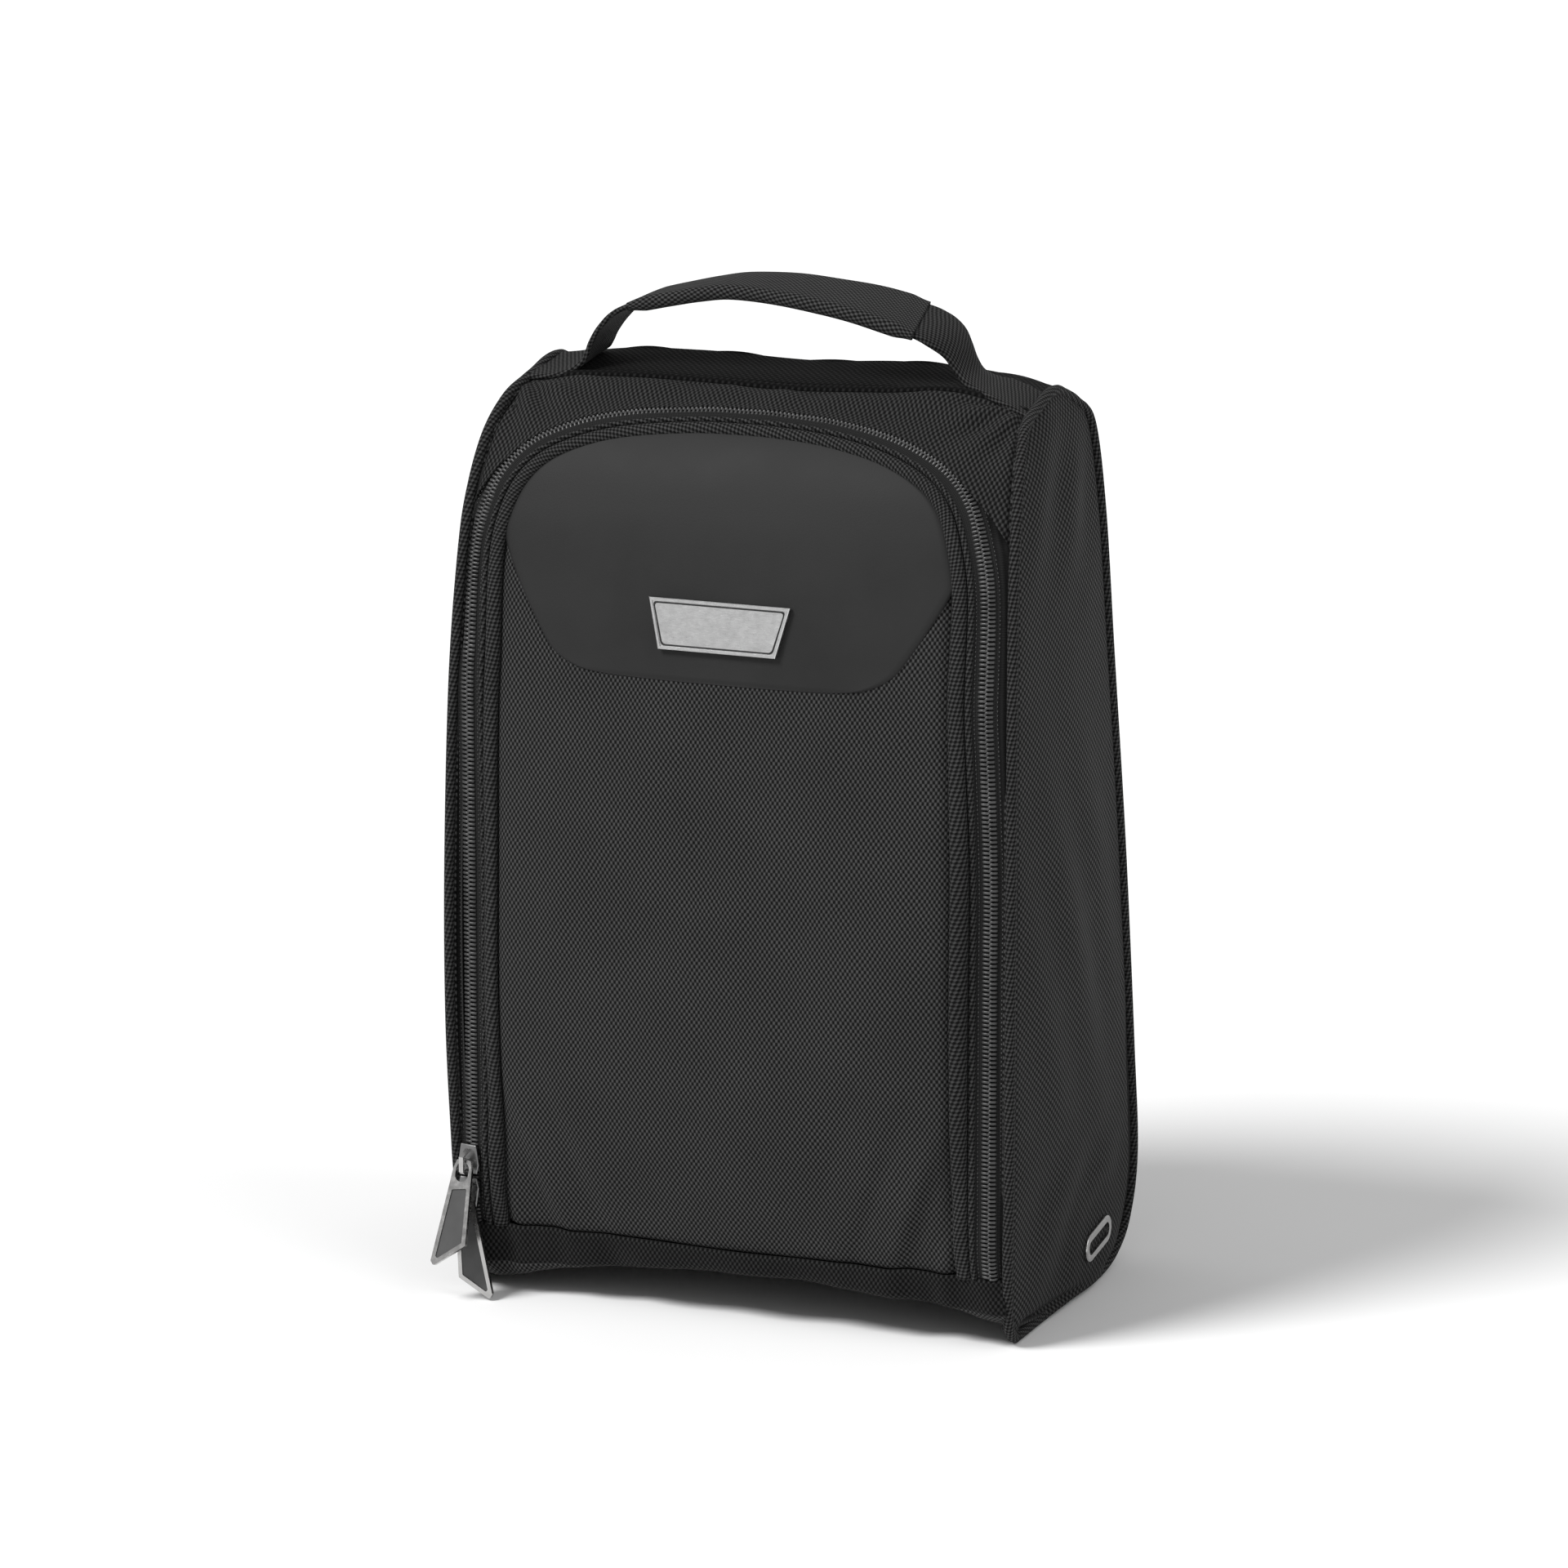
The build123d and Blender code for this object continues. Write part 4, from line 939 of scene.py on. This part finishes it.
def side_panel(side, name):
    """One gusset: stretched between its seams and filled out in the middle."""
    rows = 240
    columns = 96
    front = open_edge(FRONT_SEAM, rows)
    back = open_edge(BACK_SEAM[::-1], rows)
    low = open_edge([FRONT_SEAM[0]] + BASE_EDGE[::-1] + [BACK_SEAM[-1]], columns)
    high = open_edge([FRONT_SEAM[-1]] + TOP_EDGE + [BACK_SEAM[0]], columns)
    t = np.linspace(0, 1, rows)[:, None, None]
    v = np.linspace(0, 1, columns)[None, :, None]
    flat = front[:, None] * (1 - v) + back[:, None] * v + low[None] * (1 - t) + high[None] * t
    flat = flat - ((low[0] * (1 - v) + low[-1] * v) * (1 - t) + (high[0] * (1 - v) + high[-1] * v) * t)
    t = t[..., 0]
    v = v[..., 0]
    y = flat[..., 1]
    z = flat[..., 2]
    belly = np.sin(math.pi * v)
    fill = belly**0.8 * np.sin(math.pi * np.clip(t * 0.93 + 0.07, 0, 1)) ** 0.35
    bulge = SIDE_FILL * fill * (1 - 0.45 * t)
    pull = 0.7 * fill * wave(z, 37.0, 1.0) * wave(y, 24.0)
    for height, lean, length, sway, sway_length, middle, reach in SIDE_PULLS:
        folds = np.sin((z + lean * y) / length + sway * wave(z, sway_length))
        pull += height * belly * folds * bell(z, middle, reach)
    depth = y[:, -1:] - y[:, :1]
    from_front = v * depth
    from_back = (1 - v) * depth
    from_low = z - z[:1]
    groove = FRONT_TUCK * bell(from_front, 0, 3.0) + BACK_TUCK * bell(from_back, 0, 3.0)
    groove = groove + FOOT_TUCK * bell(from_low, 3.4, 2.4) * ease(y, -58, -46)
    groove = groove + HEEL_TUCK * bell(from_back, 3.6, 2.6) * (1 - ease(z, 60, 110))
    x = flat[..., 0] + bulge + pull - groove
    from_eyelet = np.hypot((y - EYELET_Y) / 30.0, (z - EYELET_Z) / 24.0)
    held = 1 - ease(from_eyelet, 0.55, 1.25)
    x = x + held * (HALF_WIDTH - 0.05 - x)
    away = np.array([side, 1, 1])
    order = slice(None, None, -1) if side > 0 else slice(None)

    def layer(inwards):
        """The gusset's points so far inside its face, in the order that turns its front outwards."""
        return (np.stack([x - inwards, y, z], -1) * away)[:, order]

    uvs = np.stack([y, z], -1)[:, order]
    panel = shell(f"side_cloth_{name}", layer(0), layer(CLOTH_THICK), uvs, SIDE_CLOTH, LINING)
    coarse = (slice(None, None, 3), slice(None, None, 3))
    face = layer(LINING_IN)[coarse]
    behind = layer(LINING_IN + LINING_THICK)[coarse]
    back_sheet = shell(f"side_lining_{name}", face, behind, uvs[coarse], LINING)
    return panel, back_sheet


PIPE_RADIUS = 2.1
PIPE_SIDES = 12


def corner_piping(name, path):
    """A round cord of cloth along a closed path, its rings square to the path."""
    forward = unit(np.roll(path, -1, 0) - np.roll(path, 1, 0))
    side = unit(np.cross(forward, np.array([1.0, 0, 0])))
    out = np.cross(side, forward)
    angles = np.linspace(0, 2 * math.pi, PIPE_SIDES, endpoint=False)
    across = PIPE_RADIUS * np.cos(angles)[None, :, None] * side[:, None]
    rings = path[:, None] + across + PIPE_RADIUS * np.sin(angles)[None, :, None] * out[:, None]
    uvs = np.stack(np.broadcast_arrays((angles * PIPE_RADIUS)[None], lengths(path)[:, None]), -1)
    return tube(name, rings, uvs, BINDING_WITH_PAINTED_SHADE, closed=True)


def side_loop(side):
    """The closed seam round one side panel."""
    corners = SIDE_LOOP + [SIDE_LOOP[0]]
    wrapped = [SIDE_LOOP[-1]] + corners + [SIDE_LOOP[1]]
    path = smooth_path(wrapped, 2600)
    start = int(np.argmin(np.linalg.norm(path[:400] - SIDE_LOOP[0], axis=1)))
    end = 2200 + int(np.argmin(np.linalg.norm(path[2200:] - SIDE_LOOP[0], axis=1)))
    loop = even(path[start:end + 1], 701)[:-1]
    loop[:, 2] = np.maximum(loop[:, 2], PIPE_RADIUS)
    return loop * np.array([side, 1, 1])


for side, name in ((-1, "left"), (1, "right")):
    panel, back_sheet = side_panel(side, name)
    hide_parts(f"side_panel_{name}")
    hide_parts(f"side_foam_{name}")
    welt = corner_piping(f"corner_piping_cloth_{name}", side_loop(side))
    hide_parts(f"corner_piping_{name}")
    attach(panel, "bag_body")
    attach(back_sheet, "bag_body")
    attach(welt, "bag_body")


BACK_FILL = 3.4
BACK_LINING_IN = 3.0
BACK_LINING_THICK = 0.6


def back_sheet_points(inset, rows=170, columns=130):
    """The back wall, from the strip's rear edge down and round the heel to the base."""
    seam = open_edge(BACK_SEAM, rows)
    u = np.linspace(-1, 1, columns)[None]
    x = seam[:, :1] * u
    t = np.linspace(0, 1, rows)[:, None]
    y = seam[:, 1:2] + 0 * u
    z = seam[:, 2:] + 0 * u
    direction = unit(np.gradient(seam[:, 1:], axis=0))
    out_y = -direction[:, 1:]
    out_z = direction[:, :1]
    fill = (1 - u**4) * np.sin(math.pi * np.clip(t, 0.0, 1)) ** 0.6
    sag = BACK_FILL * fill + 0.6 * fill * wave(x, 31.0, 0.5) * wave(z, 43.0)
    sag += 0.6 * np.exp(-t * 26) * wave(x, 6.1)
    y = y + out_y * (sag - inset)
    z = z + out_z * (sag - inset)
    z = z + (1 - ease(t, 0.0, 0.06)) * (along_x(STRIP_BACK, x) - seam[0, 2])
    along = lengths(seam)[:, None] + 0 * u
    return np.stack([x, y, z], -1), np.stack([x, along], -1)


outer, uvs = back_sheet_points(0)
inner, _ = back_sheet_points(CLOTH_THICK)
back = shell("back_cloth", outer[::-1], inner[::-1], uvs[::-1], MAIN_CLOTH, LINING)
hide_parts("back_panel")
outer, uvs = back_sheet_points(BACK_LINING_IN, 60, 50)
inner, _ = back_sheet_points(BACK_LINING_IN + BACK_LINING_THICK, 60, 50)
back_lining = shell("back_lining_cloth", outer[::-1], inner[::-1], uvs[::-1], LINING)
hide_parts("body_lining", "back_foam")


BASE_Y = BACK_SEAM[-1][1]
BASE_HALF = 112.2
BASE_LIFT = 0.9             # how high the base's cloth lies over the floor, under its middle
RAMP_Y = -13.0              # the cloth comes down to that height here
RAMP_LENGTH = 24
BAND_SEAM_RISE = 0.9
# hollows along the lower band: place across the bag, half width and depth
BAND_HOLLOWS = ((-92, 9, 2.6), (-68, 6, 1.6), (-48, 7, 1.8), (-20, 12, 1.2), (30, 14, 1.0), (82, 9, 2.0),
                (100, 5, 1.6))


def underside_points(out):
    """The lower front band and the base as one run of cloth: down from the door's seam, under, and back."""
    top_s = s_of_z(DOOR_SEAM_Z) + 0.8
    rows = 120
    columns = 150
    x = np.linspace(-1, 1, columns)[None] * BASE_HALF
    t = np.linspace(0, 1, rows)[:, None]
    top = front_wall(x, np.full_like(x, top_s))[0]
    edge_z = along_x(BASE_FRONT, x[0])
    edge_y = top[:, 1] + 2.2 + 6.0 * ease(np.abs(x[0]), 92, 112)
    curves = []
    for (_, top_y, top_z), foot_y, foot_z in zip(top, edge_y, edge_z):
        room = max(top_z - foot_z, 6.0)
        low = max(foot_z, 1.0)
        points = [(top_y + 0.2, top_z), (top_y - 0.9, top_z - 0.25 * room),
                  (top_y - 0.6, foot_z + 0.34 * room), (foot_y - 0.6, foot_z + 0.1 * room),
                  (foot_y + 3.2, low), (foot_y + 12, max(low - 1.5, BASE_LIFT)),
                  (RAMP_Y, BASE_LIFT), (RAMP_Y + RAMP_LENGTH, BASE_LIFT), (BASE_Y, 2.0)]
        curves.append(even(smooth_path(points, 500), rows))
    yz = np.stack(curves, 1)
    direction = unit(np.gradient(yz, axis=0))
    yz = yz + out * np.stack([direction[..., 1], -direction[..., 0]], -1)
    folds = 0.8 * wave(x, 9.0, 2.0 * wave(x, 31.0)) * bell(t, 0.08, 0.06)
    for middle, width, depth in BAND_HOLLOWS:
        folds = folds - depth * bell(x, middle, width) * bell(t, 0.085, 0.045)
    folds = folds + BAND_SEAM_RISE * bell(t, 0.012, 0.012)
    along = lengths(yz[:, columns // 2])[:, None] + 0 * x
    points = np.stack([x + 0 * t, yz[..., 0] - folds, yz[..., 1]], -1)
    return points, np.stack([x + 0 * t, along], -1)


outer, uvs = underside_points(0.0)
inner, _ = underside_points(-1.0)
middle = outer.shape[1] // 2
split = int(np.argmax(outer[:, middle, 1] > outer[0, middle, 1] + 5.0))
upper = slice(split, None, -1)
# the lower band's darker cloth is painted shade
band_cloth = shell("lower_band_cloth", outer[upper], inner[upper], uvs[upper], BAND_CLOTH_PAINTED_SHADE, LINING)
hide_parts("lower_front_band")
lower = slice(None, split - 1, -1)
base_cloth = shell("base_cloth", outer[lower], inner[lower], uvs[lower], MAIN_CLOTH, LINING)
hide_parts("base_panel")


STRIP_HALF = 102.8
STRIP_THICK = 1.2
STRIP_ROLL = 1.6            # the rolled front edge, and the dip behind it
STRIP_DIP = 1.2


def strip_points(drop):
    """The top strip, with a rolled front edge."""
    x = np.linspace(-1, 1, 170)[None] * STRIP_HALF
    v = np.linspace(0, 1, 44)[:, None]
    y = TOP_SEAM_Y + (STRIP_BACK_Y - TOP_SEAM_Y) * v
    z = along_x(TOP_SEAM, x) * (1 - v) + along_x(STRIP_BACK, x) * v
    z = z + np.sin(math.pi * v) * (0.9 + 0.5 * wave(x, 17.0, 1.0))
    z = z + STRIP_ROLL * bump(v, 0.05, 0.08) - STRIP_DIP * bump(v, 0.13, 0.05)
    return np.stack([x + 0 * v, y + 0 * x, z - drop], -1), np.stack([x + 0 * v, y + 0 * x], -1)


outer, uvs = strip_points(0.0)
inner, _ = strip_points(STRIP_THICK)
# the strip's dark cloth is painted shade from the handle above it
strip = shell("top_strip_cloth", outer, inner, uvs, STRIP_CLOTH_PAINTED_SHADE, LINING)
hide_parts("top_panel")

for piece in (body_tape, body_coil, body_stitches, surround_piece, back, back_lining, band_cloth, base_cloth,
              strip):
    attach(piece, "bag_body")


# ---- handle ----
# the strap's own line, from its left root over the grip to its right root, as (x, z)
STRAP_LINE = [(-103, 354.6), (-96, 355.2), (-90, 356.2), (-84.5, 358.2), (-81.2, 360.6), (-79.7, 363.6),
              (-78.3, 367.5), (-75.2, 372.9), (-70.5, 377.8), (-64.5, 380.8), (-55.5, 383.3), (-45, 385.9),
              (-33, 388.6), (-20.3, 390.6), (-2, 390.7), (16, 389), (31.7, 386.7), (47.5, 382.9),
              (55.4, 380.9), (60.5, 379.2), (65, 376.4), (68.8, 372), (71.6, 367.4), (75.3, 363.1),
              (81.5, 360.4), (88, 358.6), (96, 356), (103, 352.6)]

# by x: the strap's width as a share of its full width, how far forward it lies, and how far it rolls
STRAP_WIDTHS = [(-103, 1.02), (-84, 1.0), (-78, 0.96), (-71, 0.92), (-62, 0.86), (-55, 0.8), (56, 1.0),
                (60, 0.96), (65, 0.85), (69, 0.68), (73, 0.6), (77, 0.66), (84, 0.8), (103, 0.86)]
STRAP_FORWARD = [(-103, 3.2), (-96, 3.0), (-90, 2.4), (-84, 1.2), (-78, 0), (-60, 0), (56, 0), (62, -0.6),
                 (69, -1.4), (73, -0.6), (78, 2), (84, 4.8), (94, 7.2), (103, 8)]
STRAP_ROLL = [(-103, 4.2), (-90, 4.2), (-84, 3.4), (-78, 1.2), (-66, 0), (-55, 0.4), (-40, 0.8),
              (-20, 1.6), (0, 3), (16, 3.5), (32, 4.2), (56, 4.8), (66, 5), (72, 3.8), (80, 2.2), (90, 3),
              (103, 3)]
STRAP_THICK = 2.1
STRAP_CUP = 2.2             # how far the strap's edges curl where it rises from its roots
LEFT_RISER = (-74.0, 10.0)  # where that is, as middle and half length
RIGHT_RISER = (70.0, 18.0)

GRIP_WIDTHS = [(-62, 0.76), (-40, 0.8), (-10, 0.86), (20, 0.95), (40, 1.0), (56, 1.02)]
GRIP_ENDS = (-63, 56)
GRIP_SLANT = 6.5
GRIP_THICK = 5.6
GRIP_CROWN = 0.5
GRIP_END_SHARE = 0.6        # how thick the grip is at its ends, as a share of its middle


def flat_ring(width, thick, points=7):
    """A flat strap's section, with rounded edges, as (across, up) pairs."""
    half = thick / 2
    straight = width / 2 - half
    turn = np.linspace(-math.pi / 2, math.pi / 2, points)
    right = [(straight + half * math.cos(a), half * math.sin(a)) for a in turn]
    flat = np.linspace(straight, -straight, 8)[1:-1]
    upper = [(w, half) for w in flat]
    left = [(-w, -u) for w, u in right]
    lower = [(-w, -half) for w in flat]
    return np.array(right + upper + left + lower)


def softened(values, reach):
    """The values averaged over their neighbours within reach."""
    padded = np.pad(values, ((reach, reach), (0, 0)), mode="edge")
    total = np.cumsum(np.vstack([np.zeros(values.shape[1]), padded]), axis=0)
    width = 2 * reach + 1
    return (total[width:] - total[:-width]) / width


def strap(name, line, ring, material, widths, lift, slant=0.0):
    """A strap swept along a line in the XZ plane, its width along Y, rolled and set forward by the tables.
    Its right end is cut at a slant, the rear edge so many millimetres shorter."""
    forward = unit(softened(np.gradient(line, axis=0), len(line) // 40))
    up = np.stack([-forward[:, 1], forward[:, 0]], -1)
    across = ring[None, :, 0] * along_x(widths, line[:, 0])[:, None]
    roll = along_x(STRAP_ROLL, line[:, 0])[:, None] * across / STRAP_WIDTH
    height = ring[None, :, 1] + lift + roll
    along = lengths(line)
    shorter = slant * (across / STRAP_WIDTH + 0.5) * ease(along / along[-1], 0.6, 1.0)[:, None]
    at = along[:, None] - shorter
    x = np.interp(at, along, line[:, 0]) + up[:, None, 0] * height
    z = np.interp(at, along, line[:, 1]) + up[:, None, 1] * height
    y = HANDLE_Y + across - along_x(STRAP_FORWARD, line[:, 0])[:, None]
    rings = np.stack([x, y, z], -1)
    return tube(name, rings, loop_uvs(ring, along), material)


strap_line = smooth_path(STRAP_LINE, 460)
ring = flat_ring(STRAP_WIDTH, STRAP_THICK)
rising = bump(strap_line[:, 0], *LEFT_RISER) * 0.4 + bump(strap_line[:, 0], *RIGHT_RISER)
cup = rising[:, None] * (np.abs(ring[None, :, 0]) / (STRAP_WIDTH / 2)) ** 2 * STRAP_CUP
strap_piece = strap("handle_webbing", strap_line, ring, WEBBING, STRAP_WIDTHS, -cup)
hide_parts("handle_strap", "handle_foot_left", "handle_foot_right")

grip_line = strap_line[(strap_line[:, 0] > GRIP_ENDS[0]) & (strap_line[:, 0] < GRIP_ENDS[1])]
grip_line = even(grip_line, 160)
grip_ring = flat_ring(GRIP_WIDTH, GRIP_THICK, 11)
share = np.linspace(0, 1, len(grip_line))
crown = GRIP_CROWN * np.cos(np.clip(grip_ring[None, :, 0] / (GRIP_WIDTH / 2), -1, 1) * math.pi / 2)
crown = crown * np.sign(grip_ring[None, :, 1]) * np.sin(math.pi * share[:, None]) ** 0.3
thinner = (1 - GRIP_END_SHARE) * (1 - ease(np.minimum(share, 1 - share), 0, 0.07))
crown = crown - grip_ring[None, :, 1] * thinner[:, None]
grip = strap("grip_cloth_cover", grip_line, grip_ring, GRIP_CLOTH, GRIP_WIDTHS, crown, GRIP_SLANT)
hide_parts("grip_cover", "grip_core")
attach(grip, "handle")

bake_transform(strap_piece)

for piece in (door_panel, door_back, door_piping, door_tape, door_coil, door_stitches):
    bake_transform(piece)
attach(yoke_piece, "door")


# ---- finishes on the CAD nodes ----
def paint(node, material):
    """Gives a CAD node its detailed material."""
    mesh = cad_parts[node].data
    mesh.materials.clear()
    mesh.materials.append(material)


BADGE_TILT = 9.3            # degrees back from upright
BADGE_THICK = 1.8
BADGE_FACE = 0.4            # the recessed face, in front of the plate's middle
BADGE_LINE_TOP = (26.5, 7.9)    # the border's corners, across and up from the plate's middle
BADGE_LINE_LOW = (22.3, -7.9)
BADGE_LINE_WIDTH = 0.62
BADGE_LINE_DEPTH = 0.25
BADGE_LINE_PROUD = 0.12
BADGE_CORNER = 1.6


def badge_outline(grow):
    """The engraved border: a trapezium with rounded corners, as (across, up) pairs."""
    corners = np.array([BADGE_LINE_TOP, (-BADGE_LINE_TOP[0], BADGE_LINE_TOP[1]),
                        (-BADGE_LINE_LOW[0], BADGE_LINE_LOW[1]), BADGE_LINE_LOW], float)
    points = []
    for k, corner in enumerate(corners):
        before = corners[k - 1] - corner
        after = corners[(k + 1) % 4] - corner
        start = corner + unit(before) * BADGE_CORNER
        end = corner + unit(after) * BADGE_CORNER
        for share in np.linspace(0, 1, 7):
            points.append(start * (1 - share) ** 2 + 2 * share * (1 - share) * corner + end * share**2)
    points = np.array(points)
    return points * (1 + grow / np.abs(points).max(axis=0))


def badge_border():
    """The dark line just inside the badge's rim."""
    low, high = cad_box("badge_plate")
    tilt = math.radians(BADGE_TILT)
    half_height = (high[2] - low[2] - BADGE_THICK * math.sin(tilt)) / 2 / math.cos(tilt)
    middle = (low + high) / 2
    middle[1] = low[1] + BADGE_THICK / 2 * math.cos(tilt) + half_height * math.sin(tilt)
    outwards = np.array([0, -math.cos(tilt), math.sin(tilt)])
    up = np.array([0, math.sin(tilt), math.cos(tilt)])
    half = BADGE_LINE_WIDTH / 2
    section = [(-half, -BADGE_LINE_DEPTH), (half, -BADGE_LINE_DEPTH), (half, BADGE_LINE_PROUD),
               (-half, BADGE_LINE_PROUD)]
    rings = []
    for grow, lift in section:
        outline = badge_outline(grow)
        rings.append(middle + outwards * (BADGE_FACE + lift) + outline[:, :1] * np.array([1, 0, 0])
                     + outline[:, 1:] * up)
    rings = np.stack(rings, 1)
    uvs = np.zeros((rings.shape[0] * rings.shape[1], 2))
    return tube("badge_border_line", rings, uvs, BADGE_LINE, closed=True)


border = badge_border()
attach(border, "door")

FINISHES = (
    (BADGE, "badge_plate"),
    (BOARD, "base_board"),
    (DARK_NICKEL, "badge_washer", "upper_slider_body", "lower_slider_body", "vent_washer_left",
     "vent_washer_right"),
    (NICKEL, "upper_slider_bridge", "lower_slider_bridge", "upper_pull_frame", "lower_pull_frame",
     "vent_eyelet_left", "vent_eyelet_right"),
    (INLAY, "upper_pull_inlay", "lower_pull_inlay"),
    (MESH_CLOTH, "vent_mesh_left", "vent_mesh_right"),
)
for material, *nodes in FINISHES:
    for node in nodes:
        paint(node, material)


# ---- studio and camera ----
CAMERA_AZIMUTH = 22.0
CAMERA_ELEVATION = 13.4
CAMERA_DISTANCE = 2875.0
CAMERA_AIM = (13.2, -47.7, 207.8)
CAMERA_LENS = 174.11

FLOOR_SIZE = 60
FLOOR_Z = -0.0002
WORLD_LEVEL = 0.46
SUNS = (("key", -38, 48, 3.0, 20), ("fill", 74, 40, 0.62, 40))     # azimuth, elevation, strength, spread


def towards(azimuth, elevation):
    """The way from the bag to a light or camera: azimuth 0 is straight in front, 90 is the right side."""
    a = math.radians(azimuth)
    e = math.radians(elevation)
    return Vector((math.sin(a) * math.cos(e), -math.cos(a) * math.cos(e), math.sin(e)))


def studio():
    """Floor, soft lights and a pale world."""
    bpy.ops.mesh.primitive_grid_add(x_subdivisions=4, y_subdivisions=4, size=FLOOR_SIZE,
                                    location=(0, 0, FLOOR_Z))
    floor = bpy.context.object
    floor.name = "studio_floor"
    floor.data.materials.append(FLOOR)
    world = bpy.data.worlds.new("studio_world")
    world.use_nodes = True
    background = world.node_tree.nodes["Background"]
    background.inputs["Color"].default_value = (1, 1, 1, 1)
    background.inputs["Strength"].default_value = WORLD_LEVEL
    bpy.context.scene.world = world
    for name, azimuth, elevation, strength, spread in SUNS:
        lamp = bpy.data.lights.new(name, "SUN")
        lamp.energy = strength
        lamp.angle = math.radians(spread)
        holder = bpy.data.objects.new(name, lamp)
        holder.rotation_euler = towards(azimuth, elevation).to_track_quat("Z", "Y").to_euler()
        bpy.context.scene.collection.objects.link(holder)


def photo_camera():
    """The camera: straight at its aim, from the given azimuth, elevation and distance."""
    back = towards(CAMERA_AZIMUTH, CAMERA_ELEVATION)
    lens = bpy.data.cameras.new("camera")
    lens.sensor_width = 36
    lens.lens = CAMERA_LENS
    lens.clip_end = 50
    holder = bpy.data.objects.new("camera", lens)
    holder.location = (Vector(CAMERA_AIM) + back * CAMERA_DISTANCE) * MM
    holder.rotation_euler = (-back).to_track_quat("-Z", "Y").to_euler()
    bpy.context.scene.collection.objects.link(holder)
    bpy.context.scene.camera = holder


studio()
photo_camera()
bpy.context.scene.view_settings.view_transform = "Standard"
